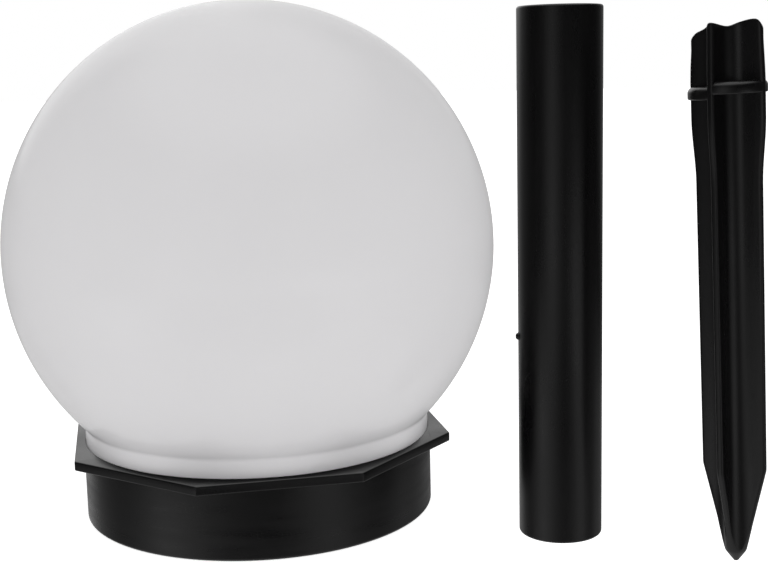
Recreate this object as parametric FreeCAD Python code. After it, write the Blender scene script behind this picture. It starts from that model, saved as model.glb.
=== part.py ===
"""Garden globe light: a frosted globe on an octagonal base, with its pole tube and ground stake laid out beside it.

The origin is the centre of the pole socket's mouth, level with the rim that the base stands on. +Z is up, and the
tube and the stake stand towards +X. All sizes are in millimetres.
"""

import FreeCAD
import Part
import math
import os

V = FreeCAD.Vector
UP = V(0, 0, 1)

# ---- globe ----------------------------------------------------------------------------------------------------
GLOBE_RADIUS = 75.0
GLOBE_WALL = 2.0
NECK_RADIUS = 53.6
NECK_ABOVE_FLANGE = 4.6
NECK_FILLET = 2.0

# ---- base housing ---------------------------------------------------------------------------------------------
SKIRT_RADIUS = 52.7
SKIRT_WALL = 2.0
SKIRT_HEIGHT = 21.3
FLANGE_SIDES = 8
FLANGE_CORNER_RADIUS = 61.2
FLANGE_THICKNESS = 2.8
FLANGE_TURN = 33.8
FLANGE_EDGE_FILLET = 0.4
NECK_GROOVE_DEPTH = 1.4
NECK_GROOVE_CLEARANCE = 0.2
SPIGOT_CLEARANCE = 0.3
SPIGOT_WALL = 3.0
SPIGOT_HEIGHT = 4.9
SPIGOT_LEAD_IN = 0.6
DECK_LEDGE = 2.8
PLATE_LEDGE_WIDTH = 1.3
PLATE_LEDGE_HEIGHT = 2.0
RIM_FILLET = 0.5

# ---- neck seal ------------------------------------------------------------------------------------------------
SEAL_SECTION_RADIUS = 1.0
SEAL_CLEARANCE = 0.05
SEAL_ABOVE_FLANGE = 2.5
SEAL_SIDE_CLEARANCE = 0.1

# ---- screws and bosses ----------------------------------------------------------------------------------------
BOSS_COUNT = 4
BOSS_RADIUS = 3.5
BOSS_INSET = 3.2
SCREW_CLEARANCE = 0.05
SCREW_HOLE_CLEARANCE = 0.25
SCREW_TIP_ROOM = 1.0
BASE_SCREW_RADIUS = 1.3
BASE_SCREW_LENGTH = 8.0
BASE_SCREW_HEAD_RADIUS = 2.7
BASE_SCREW_HEAD_HEIGHT = 1.5
TRAY_SCREW_RADIUS = 1.1
TRAY_SCREW_LENGTH = 7.0
TRAY_SCREW_HEAD_RADIUS = 1.9
TRAY_SCREW_HEAD_HEIGHT = 1.3
TRAY_SCREW_INSET = 4.8
BOARD_SCREW_RADIUS = 0.9
BOARD_SCREW_LENGTH = 5.0
BOARD_SCREW_HEAD_RADIUS = 1.7
BOARD_SCREW_HEAD_HEIGHT = 1.1
COVER_SCREW_RADIUS = 1.3
COVER_SCREW_LENGTH = 8.0
COVER_SCREW_HEAD_RADIUS = 2.4
COVER_SCREW_HEAD_HEIGHT = 1.4
DRIVE_SLOT_WIDTH = 0.7
DRIVE_SLOT_DEPTH = 0.6

# ---- bottom plate and pole socket -----------------------------------------------------------------------------
PLATE_RECESS = 2.0
PLATE_THICKNESS = 2.0
PLATE_CLEARANCE = 0.2
SOCKET_CLEARANCE = 0.15
SOCKET_DEPTH = 20.0
SOCKET_WALL = 1.8
SOCKET_END_WALL = 1.6
RIB_THICKNESS = 1.4
RIB_HEIGHT = 5.0
RIB_END_ROOM = 2.0

# ---- battery bay ----------------------------------------------------------------------------------------------
BATTERY_RADIUS = 7.25
BATTERY_LENGTH = 50.5
BATTERY_NUB_RADIUS = 2.75
BATTERY_NUB_LENGTH = 1.0
BATTERY_EDGE_FILLET = 0.8
BAY_SIDE_CLEARANCE = 0.45
BAY_HEIGHT_CLEARANCE = 0.3
BAY_WALL = 1.5
BAY_TO_SOCKET = 3.9
CONTACT_THICKNESS = 0.4
CONTACT_WIDTH = 11.0
CONTACT_HEIGHT = 12.0
CONTACT_TAB_WIDTH = 3.0
CONTACT_TAB_RISE = 2.2
CONTACT_SLOT_CLEARANCE = 0.2
SPRING_ROOM = 3.5
COVER_THICKNESS = 1.2
COVER_LAP = 1.3
COVER_CLEARANCE = 0.2
COVER_EAR_REACH = 5.0
COVER_EAR_RADIUS = 3.6
COVER_BOSS_RADIUS = 2.9
COVER_GRIP_COUNT = 5
COVER_GRIP_DEPTH = 0.35
COVER_GRIP_WIDTH = 0.8
COVER_GRIP_LENGTH = 9.0
COVER_GRIP_PITCH = 1.8

# ---- control board and switch ---------------------------------------------------------------------------------
BOARD_LENGTH = 34.0
BOARD_WIDTH = 20.0
BOARD_THICKNESS = 1.2
BOARD_STANDOFF = 7.0
BOARD_TO_SOCKET = 6.0
POST_RADIUS = 2.4
POST_INSET = 3.2
CHIP_LENGTH = 5.0
CHIP_WIDTH = 4.0
CHIP_HEIGHT = 1.5
CHIP_LEG_COUNT = 4
CHIP_LEG_PITCH = 1.27
CHIP_LEG_WIDTH = 0.4
CHIP_LEG_REACH = 1.0
CHIP_LEG_THICKNESS = 0.3
INDUCTOR_RADIUS = 3.0
INDUCTOR_HEIGHT = 4.6
INDUCTOR_FLANGE = 0.8
INDUCTOR_WAIST = 0.9
SWITCH_LENGTH = 12.0
SWITCH_WIDTH = 6.0
SWITCH_HEIGHT = 4.5
SWITCH_WALL = 0.8
SWITCH_TRAVEL = 2.5
SWITCH_CLEARANCE = 0.08
KNOB_LENGTH = 2.6
KNOB_WIDTH = 2.2
KNOB_PROUD = 1.1
KNOB_RIDGE = 0.4
SLIDER_LENGTH = 5.0
SLIDER_WIDTH = 3.4
SLIDER_HEIGHT = 2.0
SLOT_CLEARANCE = 0.5

# ---- reflector tray, solar panel and lamps --------------------------------------------------------------------
TRAY_THICKNESS = 2.0
TRAY_CLEARANCE = 0.15
PEDESTAL_RADIUS = 34.5
PEDESTAL_WALL = 2.0
PEDESTAL_HEIGHT = 8.1
PEDESTAL_FILLET = 0.8
PANEL_SIDE = 45.0
PANEL_CLEARANCE = 0.2
PANEL_BOARD_THICKNESS = 1.0
PANEL_LENS_THICKNESS = 1.2
PANEL_LENS_MARGIN = 0.4
PANEL_LENS_PROUD = 0.25
CELL_COUNT = 8
CELL_THICKNESS = 0.25
CELL_GAP = 0.5
CELL_MARGIN = 1.6
LED_COUNT = 4
LED_RADIUS = 2.5
LED_BODY_HEIGHT = 6.1
LED_FLANGE_RADIUS = 2.9
LED_FLANGE_HEIGHT = 1.0
LED_CLEARANCE = 0.1
LED_CUP_WALL = 1.0
LED_CUP_HEIGHT = 1.8
LED_CUP_ROOM = 0.8
LED_BOARD_THICKNESS = 1.2
LED_BOARD_WIDTH = 8.4
LED_BOARD_CLEARANCE = 0.5

# ---- inner leads ----------------------------------------------------------------------------------------------
LEAD_RADIUS = 0.55
LEAD_HOLE_RADIUS = 1.1
ARC_SHARE = 0.45

# ---- pole tube ------------------------------------------------------------------------------------------------
TUBE_RADIUS = 12.0
TUBE_WALL = 1.0
TUBE_LENGTH = 151.6
TUBE_END_FILLET = 0.3
PIP_HEIGHT_UP = 58.6
PIP_RADIUS = 1.1
PIP_PROUD = 0.8
PIP_DIRECTION = 190.0

# ---- ground stake ---------------------------------------------------------------------------------------------
STAKE_LENGTH = 145.2
STAKE_FIN_THICKNESS = 1.8
STAKE_FIN_ROOT_FILLET = 4.2
STAKE_TIP_RADIUS = 0.3
STAKE_POINT_RADIUS = 2.8
STAKE_POINT_HEIGHT = 3.3
STAKE_TAPER_RADIUS = 9.25
STAKE_TAPER_HEIGHT = 24.8
STAKE_BODY_RADIUS = 9.55
STAKE_GUSSET_LENGTH = 22.0
STAKE_GUSSET_TO_SHELF = 7.5
PLUG_CLEARANCE = 0.15
PLUG_TOP_DRAFT = 0.3
SHELF_OVERHANG = 0.45
SHELF_THICKNESS = 1.9
SHELF_STEP = 1.6
PLUG_LENGTH = 19.6
STAKE_FIN_TURN = 49.9
STAKE_LEAN = 2.35

# ---- how the kit is laid out ----------------------------------------------------------------------------------
GLOBE_TO_TUBE = 10.4
TUBE_DIRECTION = -20.56
TUBE_TO_STAKE = 29.0
STAKE_DIRECTION = -30.9
STAKE_VIEW_TURN = -15.5

# ---- heights and radii that follow from the sizes above ---------------------------------------------------------
FLANGE_TOP = SKIRT_HEIGHT + FLANGE_THICKNESS
NECK_FOOT = FLANGE_TOP - NECK_GROOVE_DEPTH
NECK_INNER = NECK_RADIUS - GLOBE_WALL
FILLET_CENTRE_R = NECK_RADIUS + NECK_FILLET
FILLET_CENTRE_Z = FLANGE_TOP + NECK_ABOVE_FLANGE
GLOBE_CENTRE = FILLET_CENTRE_Z + math.sqrt((GLOBE_RADIUS + NECK_FILLET) ** 2 - FILLET_CENTRE_R**2)
SPIGOT_OUTER = NECK_INNER - SPIGOT_CLEARANCE
SPIGOT_INNER = SPIGOT_OUTER - SPIGOT_WALL
SPIGOT_TOP = FLANGE_TOP + SPIGOT_HEIGHT
DECK_INNER = SPIGOT_INNER - DECK_LEDGE
SKIRT_INNER = SKIRT_RADIUS - SKIRT_WALL
BOSS_CIRCLE = SKIRT_INNER - BOSS_INSET
SEAL_Z = FLANGE_TOP + SEAL_ABOVE_FLANGE
SEAL_CIRCLE = NECK_INNER - SEAL_CLEARANCE - SEAL_SECTION_RADIUS
PLATE_TOP = PLATE_RECESS + PLATE_THICKNESS
PLATE_RADIUS = SKIRT_INNER - PLATE_CLEARANCE
SOCKET_RADIUS = TUBE_RADIUS + SOCKET_CLEARANCE
SOCKET_OUTER = SOCKET_RADIUS + SOCKET_WALL
COVER_TOP = PLATE_RECESS + COVER_THICKNESS
BAY_HALF_WIDTH = BATTERY_RADIUS + BAY_SIDE_CLEARANCE
BAY_Y = -(SOCKET_OUTER + BAY_TO_SOCKET + BAY_WALL + BAY_HALF_WIDTH - 1.5)
BATTERY_Z = COVER_TOP + BAY_HEIGHT_CLEARANCE + BATTERY_RADIUS
BAY_CEILING = BATTERY_Z + BATTERY_RADIUS + BAY_HEIGHT_CLEARANCE
BAY_TOP = BAY_CEILING + BAY_WALL
BAY_PLUS_X = BATTERY_LENGTH / 2 + CONTACT_THICKNESS
BAY_MINUS_X = -BATTERY_LENGTH / 2 - SPRING_ROOM
COVER_SCREW_X = BAY_PLUS_X + COVER_EAR_REACH + BAY_WALL
BOARD_BOTTOM = PLATE_TOP + BOARD_STANDOFF
BOARD_TOP = BOARD_BOTTOM + BOARD_THICKNESS
BOARD_Y = SOCKET_OUTER + BOARD_TO_SOCKET + BOARD_WIDTH / 2
SWITCH_BOTTOM = BOARD_BOTTOM - SWITCH_HEIGHT
TRAY_RADIUS = SPIGOT_INNER - TRAY_CLEARANCE
TRAY_TOP = FLANGE_TOP + TRAY_THICKNESS
TRAY_SCREW_CIRCLE = SKIRT_INNER - TRAY_SCREW_INSET
PEDESTAL_TOP = FLANGE_TOP + PEDESTAL_HEIGHT
PANEL_STACK = PANEL_BOARD_THICKNESS + CELL_THICKNESS + PANEL_LENS_THICKNESS
PANEL_FLOOR = PEDESTAL_TOP + PANEL_LENS_PROUD - PANEL_STACK
LED_BOARD_INNER = PEDESTAL_RADIUS + LED_BOARD_CLEARANCE
LED_CIRCLE = LED_BOARD_INNER + LED_BOARD_WIDTH / 2
PLUG_RADIUS = TUBE_RADIUS - TUBE_WALL - PLUG_CLEARANCE
SHELF_RADIUS = PLUG_RADIUS + SHELF_OVERHANG
SHELF_TOP = STAKE_LENGTH - PLUG_LENGTH + SHELF_THICKNESS

PANEL_LEAD_X = 4.0
PANEL_LEAD_Y = 18.0
PARTS = {}


def polar(radius, degrees, z=0.0):
    """The point at a radius and an angle about the lamp's axis."""
    return V(radius * math.cos(math.radians(degrees)), radius * math.sin(math.radians(degrees)), z)


def around(count, first=0.0):
    """Evenly spaced angles, in degrees."""
    return [first + 360.0 * i / count for i in range(count)]


def rod(radius, low, high, x=0.0, y=0.0):
    """An upright cylinder from one height to another."""
    return Part.makeCylinder(radius, high - low, V(x, y, low))


def ring(outer, inner, low, high, x=0.0, y=0.0):
    """An upright ring of two radii."""
    return rod(outer, low, high, x, y).cut(rod(inner, low, high, x, y))


def block(length, width, low, high, x=0.0, y=0.0):
    """An upright block centred on x and y."""
    return Part.makeBox(length, width, high - low, V(x - length / 2, y - width / 2, low))


def rounded_block(length, width, low, high, corner, x=0.0, y=0.0):
    """A block whose four upright edges are rounded."""
    shape = block(length, width, low, high, x, y)
    return shape.makeFillet(corner, upright_edges(shape))


def upright_edges(shape):
    """The straight edges of a shape that run along Z."""
    return [e for e in shape.Edges if e.BoundBox.XLength + e.BoundBox.YLength < 1e-6]


def level_edges(shape, z):
    """The edges of a shape that lie level at one height."""
    return [e for e in shape.Edges if e.BoundBox.ZLength < 1e-6 and abs(e.BoundBox.ZMin - z) < 1e-6]


def line(start, end):
    """A straight edge."""
    return Part.LineSegment(start, end).toShape()


def arc_about(centre, radius, start, end):
    """An arc in the XZ plane about a centre, between two directions in degrees."""
    points = []
    for degrees in (start, (start + end) / 2, end):
        turn = math.radians(degrees)
        points.append(V(centre[0] + radius * math.cos(turn), 0, centre[1] + radius * math.sin(turn)))
    return Part.Arc(*points).toShape()


def turned(edges):
    """The solid made by turning a closed outline in the XZ plane about the Z axis."""
    return Part.Face(Part.Wire(Part.__sortEdges__(edges))).revolve(V(0, 0, 0), UP, 360)


def turned_outline(points):
    """The turned solid of an outline given as (radius, height) corners."""
    corners = [V(r, 0, z) for r, z in points]
    return turned([line(a, b) for a, b in zip(corners, corners[1:] + corners[:1])])


def fused(shapes):
    """One solid of several that overlap, without the seams between them."""
    return shapes[0].fuse(shapes[1:]).removeSplitter()


def add(name, shape):
    """Keep a finished piece under its name."""
    PARTS[name] = shape


# ---- globe ----------------------------------------------------------------------------------------------------
def globe_surface(ball, neck, fillet, foot):
    """The edges from the ball's top to the neck's foot: ball, concave fillet and straight neck."""
    lean = math.degrees(math.atan2(GLOBE_CENTRE - FILLET_CENTRE_Z, FILLET_CENTRE_R))
    return [
        arc_about((0, GLOBE_CENTRE), ball, 90, -lean),
        arc_about((FILLET_CENTRE_R, FILLET_CENTRE_Z), fillet, 180 - lean, 180),
        line(V(neck, 0, FILLET_CENTRE_Z), V(neck, 0, foot)),
    ]


def make_globe():
    """The blow-moulded globe: an even wall that turns through a soft fillet into a short straight neck."""
    outside = globe_surface(GLOBE_RADIUS, NECK_RADIUS, NECK_FILLET, NECK_FOOT)
    inside = globe_surface(GLOBE_RADIUS - GLOBE_WALL, NECK_INNER, NECK_FILLET + GLOBE_WALL, NECK_FOOT)
    foot = line(V(NECK_RADIUS, 0, NECK_FOOT), V(NECK_INNER, 0, NECK_FOOT))
    crown = GLOBE_CENTRE + GLOBE_RADIUS
    top = line(V(0, 0, crown - GLOBE_WALL), V(0, 0, crown))
    return turned(outside + [foot] + inside + [top])


# ---- base housing ---------------------------------------------------------------------------------------------
def make_flange():
    """The flat octagonal flange, with its edges eased."""
    corners = [polar(FLANGE_CORNER_RADIUS, a, SKIRT_HEIGHT) for a in around(FLANGE_SIDES, FLANGE_TURN)]
    plate = Part.Face(Part.makePolygon(corners + corners[:1])).extrude(UP * FLANGE_THICKNESS)
    return plate.makeFillet(FLANGE_EDGE_FILLET, plate.Edges)


def make_skirt():
    """The round skirt, with its rim eased on the outside and the ledge that the bottom plate seats on."""
    skirt = rod(SKIRT_RADIUS, 0, FLANGE_TOP)
    skirt = skirt.makeFillet(RIM_FILLET, level_edges(skirt, 0))
    hollow = rod(SKIRT_INNER, 0, SKIRT_HEIGHT)
    ledge = ring(SKIRT_INNER, SKIRT_INNER - PLATE_LEDGE_WIDTH, PLATE_TOP, PLATE_TOP + PLATE_LEDGE_HEIGHT)
    return skirt.cut(hollow).fuse(ledge)


def make_spigot():
    """The ring that the globe's neck fits over, with a lead-in chamfer."""
    spigot = rod(SPIGOT_OUTER, SKIRT_HEIGHT, SPIGOT_TOP)
    return spigot.makeChamfer(SPIGOT_LEAD_IN, level_edges(spigot, SPIGOT_TOP))


def make_base_housing():
    """One moulding: octagonal flange, skirt, spigot, and four bosses that take screws from below and above."""
    shape = fused([make_flange(), make_skirt(), make_spigot()])
    shape = shape.cut(rod(SPIGOT_INNER, FLANGE_TOP, SPIGOT_TOP))
    shape = shape.cut(rod(DECK_INNER, SKIRT_HEIGHT, FLANGE_TOP))
    bosses = []
    for angle in around(BOSS_COUNT):
        at = polar(BOSS_CIRCLE, angle)
        bosses.append(rod(BOSS_RADIUS, PLATE_TOP, FLANGE_TOP, at.x, at.y))
    shape = fused([shape] + bosses)
    cuts = [ring(NECK_RADIUS + NECK_GROOVE_CLEARANCE, SPIGOT_OUTER, NECK_FOOT, FLANGE_TOP)]
    seal_half = SEAL_SECTION_RADIUS + SEAL_SIDE_CLEARANCE
    cuts.append(ring(SPIGOT_OUTER + 1, SEAL_CIRCLE - SEAL_SECTION_RADIUS, SEAL_Z - seal_half, SEAL_Z + seal_half))
    for angle in around(BOSS_COUNT):
        at = polar(BOSS_CIRCLE, angle)
        depth = BASE_SCREW_LENGTH - PLATE_THICKNESS + SCREW_TIP_ROOM
        cuts.append(rod(BASE_SCREW_RADIUS + SCREW_CLEARANCE, PLATE_TOP, PLATE_TOP + depth, at.x, at.y))
        at = polar(TRAY_SCREW_CIRCLE, angle)
        depth = TRAY_SCREW_LENGTH - TRAY_THICKNESS + SCREW_TIP_ROOM
        cuts.append(rod(TRAY_SCREW_RADIUS + SCREW_CLEARANCE, FLANGE_TOP - depth, FLANGE_TOP, at.x, at.y))
    return shape.cut(cuts)


def make_neck_seal():
    """The rubber ring that grips and seals the inside of the neck."""
    return Part.makeTorus(SEAL_CIRCLE, SEAL_SECTION_RADIUS, V(0, 0, SEAL_Z))


# ---- screws ---------------------------------------------------------------------------------------------------
def make_screw(radius, length, head_radius, head_height, place, direction):
    """A pan-head screw with a crossed drive. Its head's underside is at place, and its shank runs along direction."""
    head = rod(head_radius, -head_height, 0)
    head = head.makeFillet(head_height * 0.4, level_edges(head, -head_height))
    shank = rod(radius, 0, length)
    shank = shank.makeChamfer(radius * 0.5, level_edges(shank, length))
    screw = head.fuse(shank).removeSplitter()
    for size in ((head_radius, DRIVE_SLOT_WIDTH), (DRIVE_SLOT_WIDTH, head_radius)):
        screw = screw.cut(block(size[0], size[1], -head_height, -head_height + DRIVE_SLOT_DEPTH))
    if direction < 0:
        screw.rotate(V(0, 0, 0), V(1, 0, 0), 180)
    screw.translate(place)
    return screw


def make_base_screws():
    """Four screws that hold the bottom plate to the housing's bosses."""
    sizes = (BASE_SCREW_RADIUS, BASE_SCREW_LENGTH, BASE_SCREW_HEAD_RADIUS, BASE_SCREW_HEAD_HEIGHT)
    places = [polar(BOSS_CIRCLE, angle, PLATE_RECESS) for angle in around(BOSS_COUNT)]
    return Part.makeCompound([make_screw(*sizes, place, 1) for place in places])


def make_tray_screws():
    """Four screws that hold the tray down on the housing's deck."""
    sizes = (TRAY_SCREW_RADIUS, TRAY_SCREW_LENGTH, TRAY_SCREW_HEAD_RADIUS, TRAY_SCREW_HEAD_HEIGHT)
    places = [polar(TRAY_SCREW_CIRCLE, angle, TRAY_TOP) for angle in around(BOSS_COUNT)]
    return Part.makeCompound([make_screw(*sizes, place, -1) for place in places])


def post_places():
    """Where the two posts stand that carry the control board."""
    x = BOARD_LENGTH / 2 - POST_INSET
    y = BOARD_Y + BOARD_WIDTH / 2 - POST_INSET
    return [V(side * x, y, 0) for side in (-1, 1)]


def make_board_screws():
    """Two screws that hold the control board on its posts."""
    sizes = (BOARD_SCREW_RADIUS, BOARD_SCREW_LENGTH, BOARD_SCREW_HEAD_RADIUS, BOARD_SCREW_HEAD_HEIGHT)
    return Part.makeCompound([make_screw(*sizes, place + UP * BOARD_TOP, -1) for place in post_places()])


# ---- bottom plate, battery bay and cover ------------------------------------------------------------------------
def bay_block(grow, low, high):
    """A block over the battery bay's outline, grown on every side."""
    length = BAY_PLUS_X - BAY_MINUS_X + 2 * grow
    width = 2 * (BAY_HALF_WIDTH + grow)
    return block(length, width, low, high, (BAY_PLUS_X + BAY_MINUS_X) / 2, BAY_Y)


def cover_outline(gap):
    """The cover's plan, less a gap all round: the bay's outline with a lap, and a round ear for the screw."""
    body = bay_block(COVER_LAP - gap, PLATE_RECESS, COVER_TOP)
    ear = rod(COVER_EAR_RADIUS - gap, PLATE_RECESS, COVER_TOP, COVER_SCREW_X, BAY_Y)
    bridge_length = COVER_SCREW_X - BAY_PLUS_X
    bridge_x = BAY_PLUS_X + bridge_length / 2
    bridge = block(bridge_length, 2 * (COVER_EAR_RADIUS - gap), PLATE_RECESS, COVER_TOP, bridge_x, BAY_Y)
    return fused([body, bridge, ear])


def make_bottom_plate():
    """The lower cover: a round plate that carries the pole socket, the battery bay, the board's posts and ribs."""
    solids = [
        rod(PLATE_RADIUS, PLATE_RECESS, PLATE_TOP),
        rod(SOCKET_OUTER, 0, SOCKET_DEPTH + SOCKET_END_WALL),
        bay_block(BAY_WALL, PLATE_RECESS, BAY_TOP),
        rod(COVER_BOSS_RADIUS, PLATE_RECESS, COVER_SCREW_LENGTH + PLATE_RECESS + SCREW_TIP_ROOM, COVER_SCREW_X, BAY_Y),
    ]
    for place in post_places():
        solids.append(rod(POST_RADIUS, PLATE_RECESS, BOARD_BOTTOM, place.x, place.y))
    rib_reach = BOSS_CIRCLE - BOSS_RADIUS - RIB_END_ROOM
    solids.append(block(2 * rib_reach, RIB_THICKNESS, PLATE_RECESS, PLATE_TOP + RIB_HEIGHT))
    cuts = [
        rod(SOCKET_RADIUS, 0, SOCKET_DEPTH),
        bay_block(0, PLATE_RECESS, BAY_CEILING),
        cover_outline(0),
        rod(COVER_SCREW_RADIUS + SCREW_CLEARANCE, PLATE_RECESS, PLATE_RECESS + COVER_SCREW_LENGTH + SCREW_TIP_ROOM / 2,
            COVER_SCREW_X, BAY_Y),
        block(KNOB_LENGTH + SWITCH_TRAVEL + 2 * SLOT_CLEARANCE, KNOB_WIDTH + 2 * SLOT_CLEARANCE, PLATE_RECESS, PLATE_TOP,
              0, BOARD_Y),
    ]
    for angle in around(BOSS_COUNT):
        at = polar(BOSS_CIRCLE, angle)
        cuts.append(rod(BASE_SCREW_RADIUS + SCREW_HOLE_CLEARANCE, PLATE_RECESS, PLATE_TOP, at.x, at.y))
    for place in post_places():
        top = BOARD_BOTTOM
        depth = BOARD_SCREW_LENGTH - BOARD_THICKNESS + SCREW_TIP_ROOM / 2
        cuts.append(rod(BOARD_SCREW_RADIUS + SCREW_CLEARANCE, top - depth, top, place.x, place.y))
    gap = CONTACT_SLOT_CLEARANCE
    for x in (BAY_PLUS_X - CONTACT_THICKNESS / 2, BAY_MINUS_X + CONTACT_THICKNESS / 2):
        cuts.append(block(CONTACT_THICKNESS + 2 * gap, CONTACT_TAB_WIDTH + 2 * gap, BAY_CEILING, BAY_TOP, x, BAY_Y))
    return fused(solids).cut(cuts)


def make_battery_cover():
    """The battery door, flush with the plate, with finger grooves across its free end."""
    cover = cover_outline(COVER_CLEARANCE)
    grooves = []
    for i in range(COVER_GRIP_COUNT):
        x = BAY_MINUS_X + COVER_GRIP_PITCH * (i + 1)
        grooves.append(block(COVER_GRIP_WIDTH, COVER_GRIP_LENGTH, PLATE_RECESS, PLATE_RECESS + COVER_GRIP_DEPTH, x, BAY_Y))
    hole = rod(COVER_SCREW_RADIUS + SCREW_HOLE_CLEARANCE, PLATE_RECESS, COVER_TOP, COVER_SCREW_X, BAY_Y)
    return cover.cut(grooves + [hole])


def make_cover_screw():
    """The screw that holds the battery door, which comes away with it."""
    sizes = (COVER_SCREW_RADIUS, COVER_SCREW_LENGTH, COVER_SCREW_HEAD_RADIUS, COVER_SCREW_HEAD_HEIGHT)
    return make_screw(*sizes, V(COVER_SCREW_X, BAY_Y, PLATE_RECESS), 1)


def make_battery():
    """One AA cell, lying along X with its nub towards +X."""
    can = rod(BATTERY_RADIUS, 0, BATTERY_LENGTH - BATTERY_NUB_LENGTH)
    can = can.makeFillet(BATTERY_EDGE_FILLET, [e for e in can.Edges if e.BoundBox.ZLength < 1e-6])
    nub = rod(BATTERY_NUB_RADIUS, BATTERY_LENGTH - BATTERY_NUB_LENGTH, BATTERY_LENGTH)
    cell = can.fuse(nub)
    cell.rotate(V(0, 0, 0), V(0, 1, 0), 90)
    cell.translate(V(-BATTERY_LENGTH / 2, BAY_Y, BATTERY_Z))
    return cell


def contact_plate(x):
    """A spring-metal plate against an end wall of the bay, with the tab that comes up through the bay's roof."""
    plate = block(CONTACT_THICKNESS, CONTACT_WIDTH, BATTERY_Z - CONTACT_HEIGHT / 2, BATTERY_Z + CONTACT_HEIGHT / 2, x, BAY_Y)
    tab = block(CONTACT_THICKNESS, CONTACT_TAB_WIDTH, BATTERY_Z, BAY_TOP + CONTACT_TAB_RISE, x, BAY_Y)
    return plate.fuse(tab).removeSplitter()


def make_positive_contact():
    """The flat contact that the cell's nub touches."""
    return contact_plate(BAY_PLUS_X - CONTACT_THICKNESS / 2)


def make_negative_contact():
    """The sprung contact: a leaf bowed out from its plate until it touches the cell's flat end."""
    half = CONTACT_HEIGHT / 2 - 1
    outer_x = BAY_MINUS_X + CONTACT_THICKNESS / 2
    touch_x = -BATTERY_LENGTH / 2
    outer = Part.Arc(V(outer_x, 0, -half), V(touch_x, 0, 0), V(outer_x, 0, half)).toShape()
    inner_touch = V(touch_x - CONTACT_THICKNESS, 0, 0)
    inner_half = half - CONTACT_THICKNESS
    inner = Part.Arc(V(outer_x, 0, inner_half), inner_touch, V(outer_x, 0, -inner_half)).toShape()
    ends = [
        line(V(outer_x, 0, half), V(outer_x, 0, inner_half)),
        line(V(outer_x, 0, -inner_half), V(outer_x, 0, -half)),
    ]
    leaf_width = CONTACT_WIDTH / 2
    leaf = Part.Face(Part.Wire(Part.__sortEdges__([outer, inner] + ends))).extrude(V(0, leaf_width, 0))
    leaf.translate(V(0, BAY_Y - leaf_width / 2, BATTERY_Z))
    return contact_plate(BAY_MINUS_X + CONTACT_THICKNESS / 2).fuse(leaf).removeSplitter()


# ---- control board and switch -----------------------------------------------------------------------------------
def make_control_board():
    """The charge board, on two posts of the bottom plate."""
    board = block(BOARD_LENGTH, BOARD_WIDTH, BOARD_BOTTOM, BOARD_TOP, 0, BOARD_Y)
    holes = []
    for place in post_places():
        holes.append(rod(BOARD_SCREW_RADIUS + SCREW_HOLE_CLEARANCE, BOARD_BOTTOM, BOARD_TOP, place.x, place.y))
    return board.cut(holes)


def make_driver_chip():
    """The small chip that charges the cell by day and lights the lamps by night, on its gull-wing legs."""
    body = block(CHIP_LENGTH, CHIP_WIDTH, BOARD_TOP, BOARD_TOP + CHIP_HEIGHT, -7, BOARD_Y)
    legs = []
    for i in range(CHIP_LEG_COUNT):
        x = -7 + (i - (CHIP_LEG_COUNT - 1) / 2) * CHIP_LEG_PITCH
        width = CHIP_WIDTH + 2 * CHIP_LEG_REACH
        legs.append(block(CHIP_LEG_WIDTH, width, BOARD_TOP, BOARD_TOP + CHIP_LEG_THICKNESS, x, BOARD_Y))
    return fused([body] + legs)


def make_inductor():
    """A drum-core inductor: two flanges and a narrower wound waist."""
    x = BOARD_LENGTH / 4
    top = BOARD_TOP + INDUCTOR_HEIGHT
    drum = rod(INDUCTOR_RADIUS, BOARD_TOP, top, x, BOARD_Y)
    waist = ring(INDUCTOR_RADIUS + 1, INDUCTOR_RADIUS - INDUCTOR_WAIST, BOARD_TOP + INDUCTOR_FLANGE,
                 top - INDUCTOR_FLANGE, x, BOARD_Y)
    return drum.cut(waist)


def make_switch_body():
    """The slide switch's case, soldered under the board, with the cavity that its slider runs in."""
    case = block(SWITCH_LENGTH, SWITCH_WIDTH, SWITCH_BOTTOM, BOARD_BOTTOM, 0, BOARD_Y)
    gap = 2 * SWITCH_CLEARANCE
    floor = SWITCH_BOTTOM + SWITCH_WALL
    cavity = block(SLIDER_LENGTH + SWITCH_TRAVEL + gap, SLIDER_WIDTH + gap, floor, floor + SLIDER_HEIGHT + gap, 0, BOARD_Y)
    slot = block(KNOB_LENGTH + SWITCH_TRAVEL + gap, KNOB_WIDTH + gap, SWITCH_BOTTOM, floor, 0, BOARD_Y)
    return case.cut([cavity, slot])


def make_switch_knob():
    """The slider with its knob, which shows below the bottom plate. It rests at the -X end of its travel."""
    x = -SWITCH_TRAVEL / 2
    floor = SWITCH_BOTTOM + SWITCH_WALL + SWITCH_CLEARANCE
    tip = PLATE_RECESS - KNOB_PROUD
    slider = block(SLIDER_LENGTH, SLIDER_WIDTH, floor, floor + SLIDER_HEIGHT, x, BOARD_Y)
    knob = block(KNOB_LENGTH, KNOB_WIDTH, tip, floor + SLIDER_HEIGHT, x, BOARD_Y)
    shape = fused([slider, knob])
    for side in (-1, 1):
        offset = x + side * KNOB_LENGTH / 4
        shape = shape.cut(block(KNOB_RIDGE, KNOB_WIDTH, tip, tip + KNOB_RIDGE, offset, BOARD_Y))
    return shape


# ---- tray, panel and lamps --------------------------------------------------------------------------------------
def led_places():
    """Where the lamps stand, between the screws."""
    return [polar(LED_CIRCLE, angle) for angle in around(LED_COUNT, 180.0 / LED_COUNT)]


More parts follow.
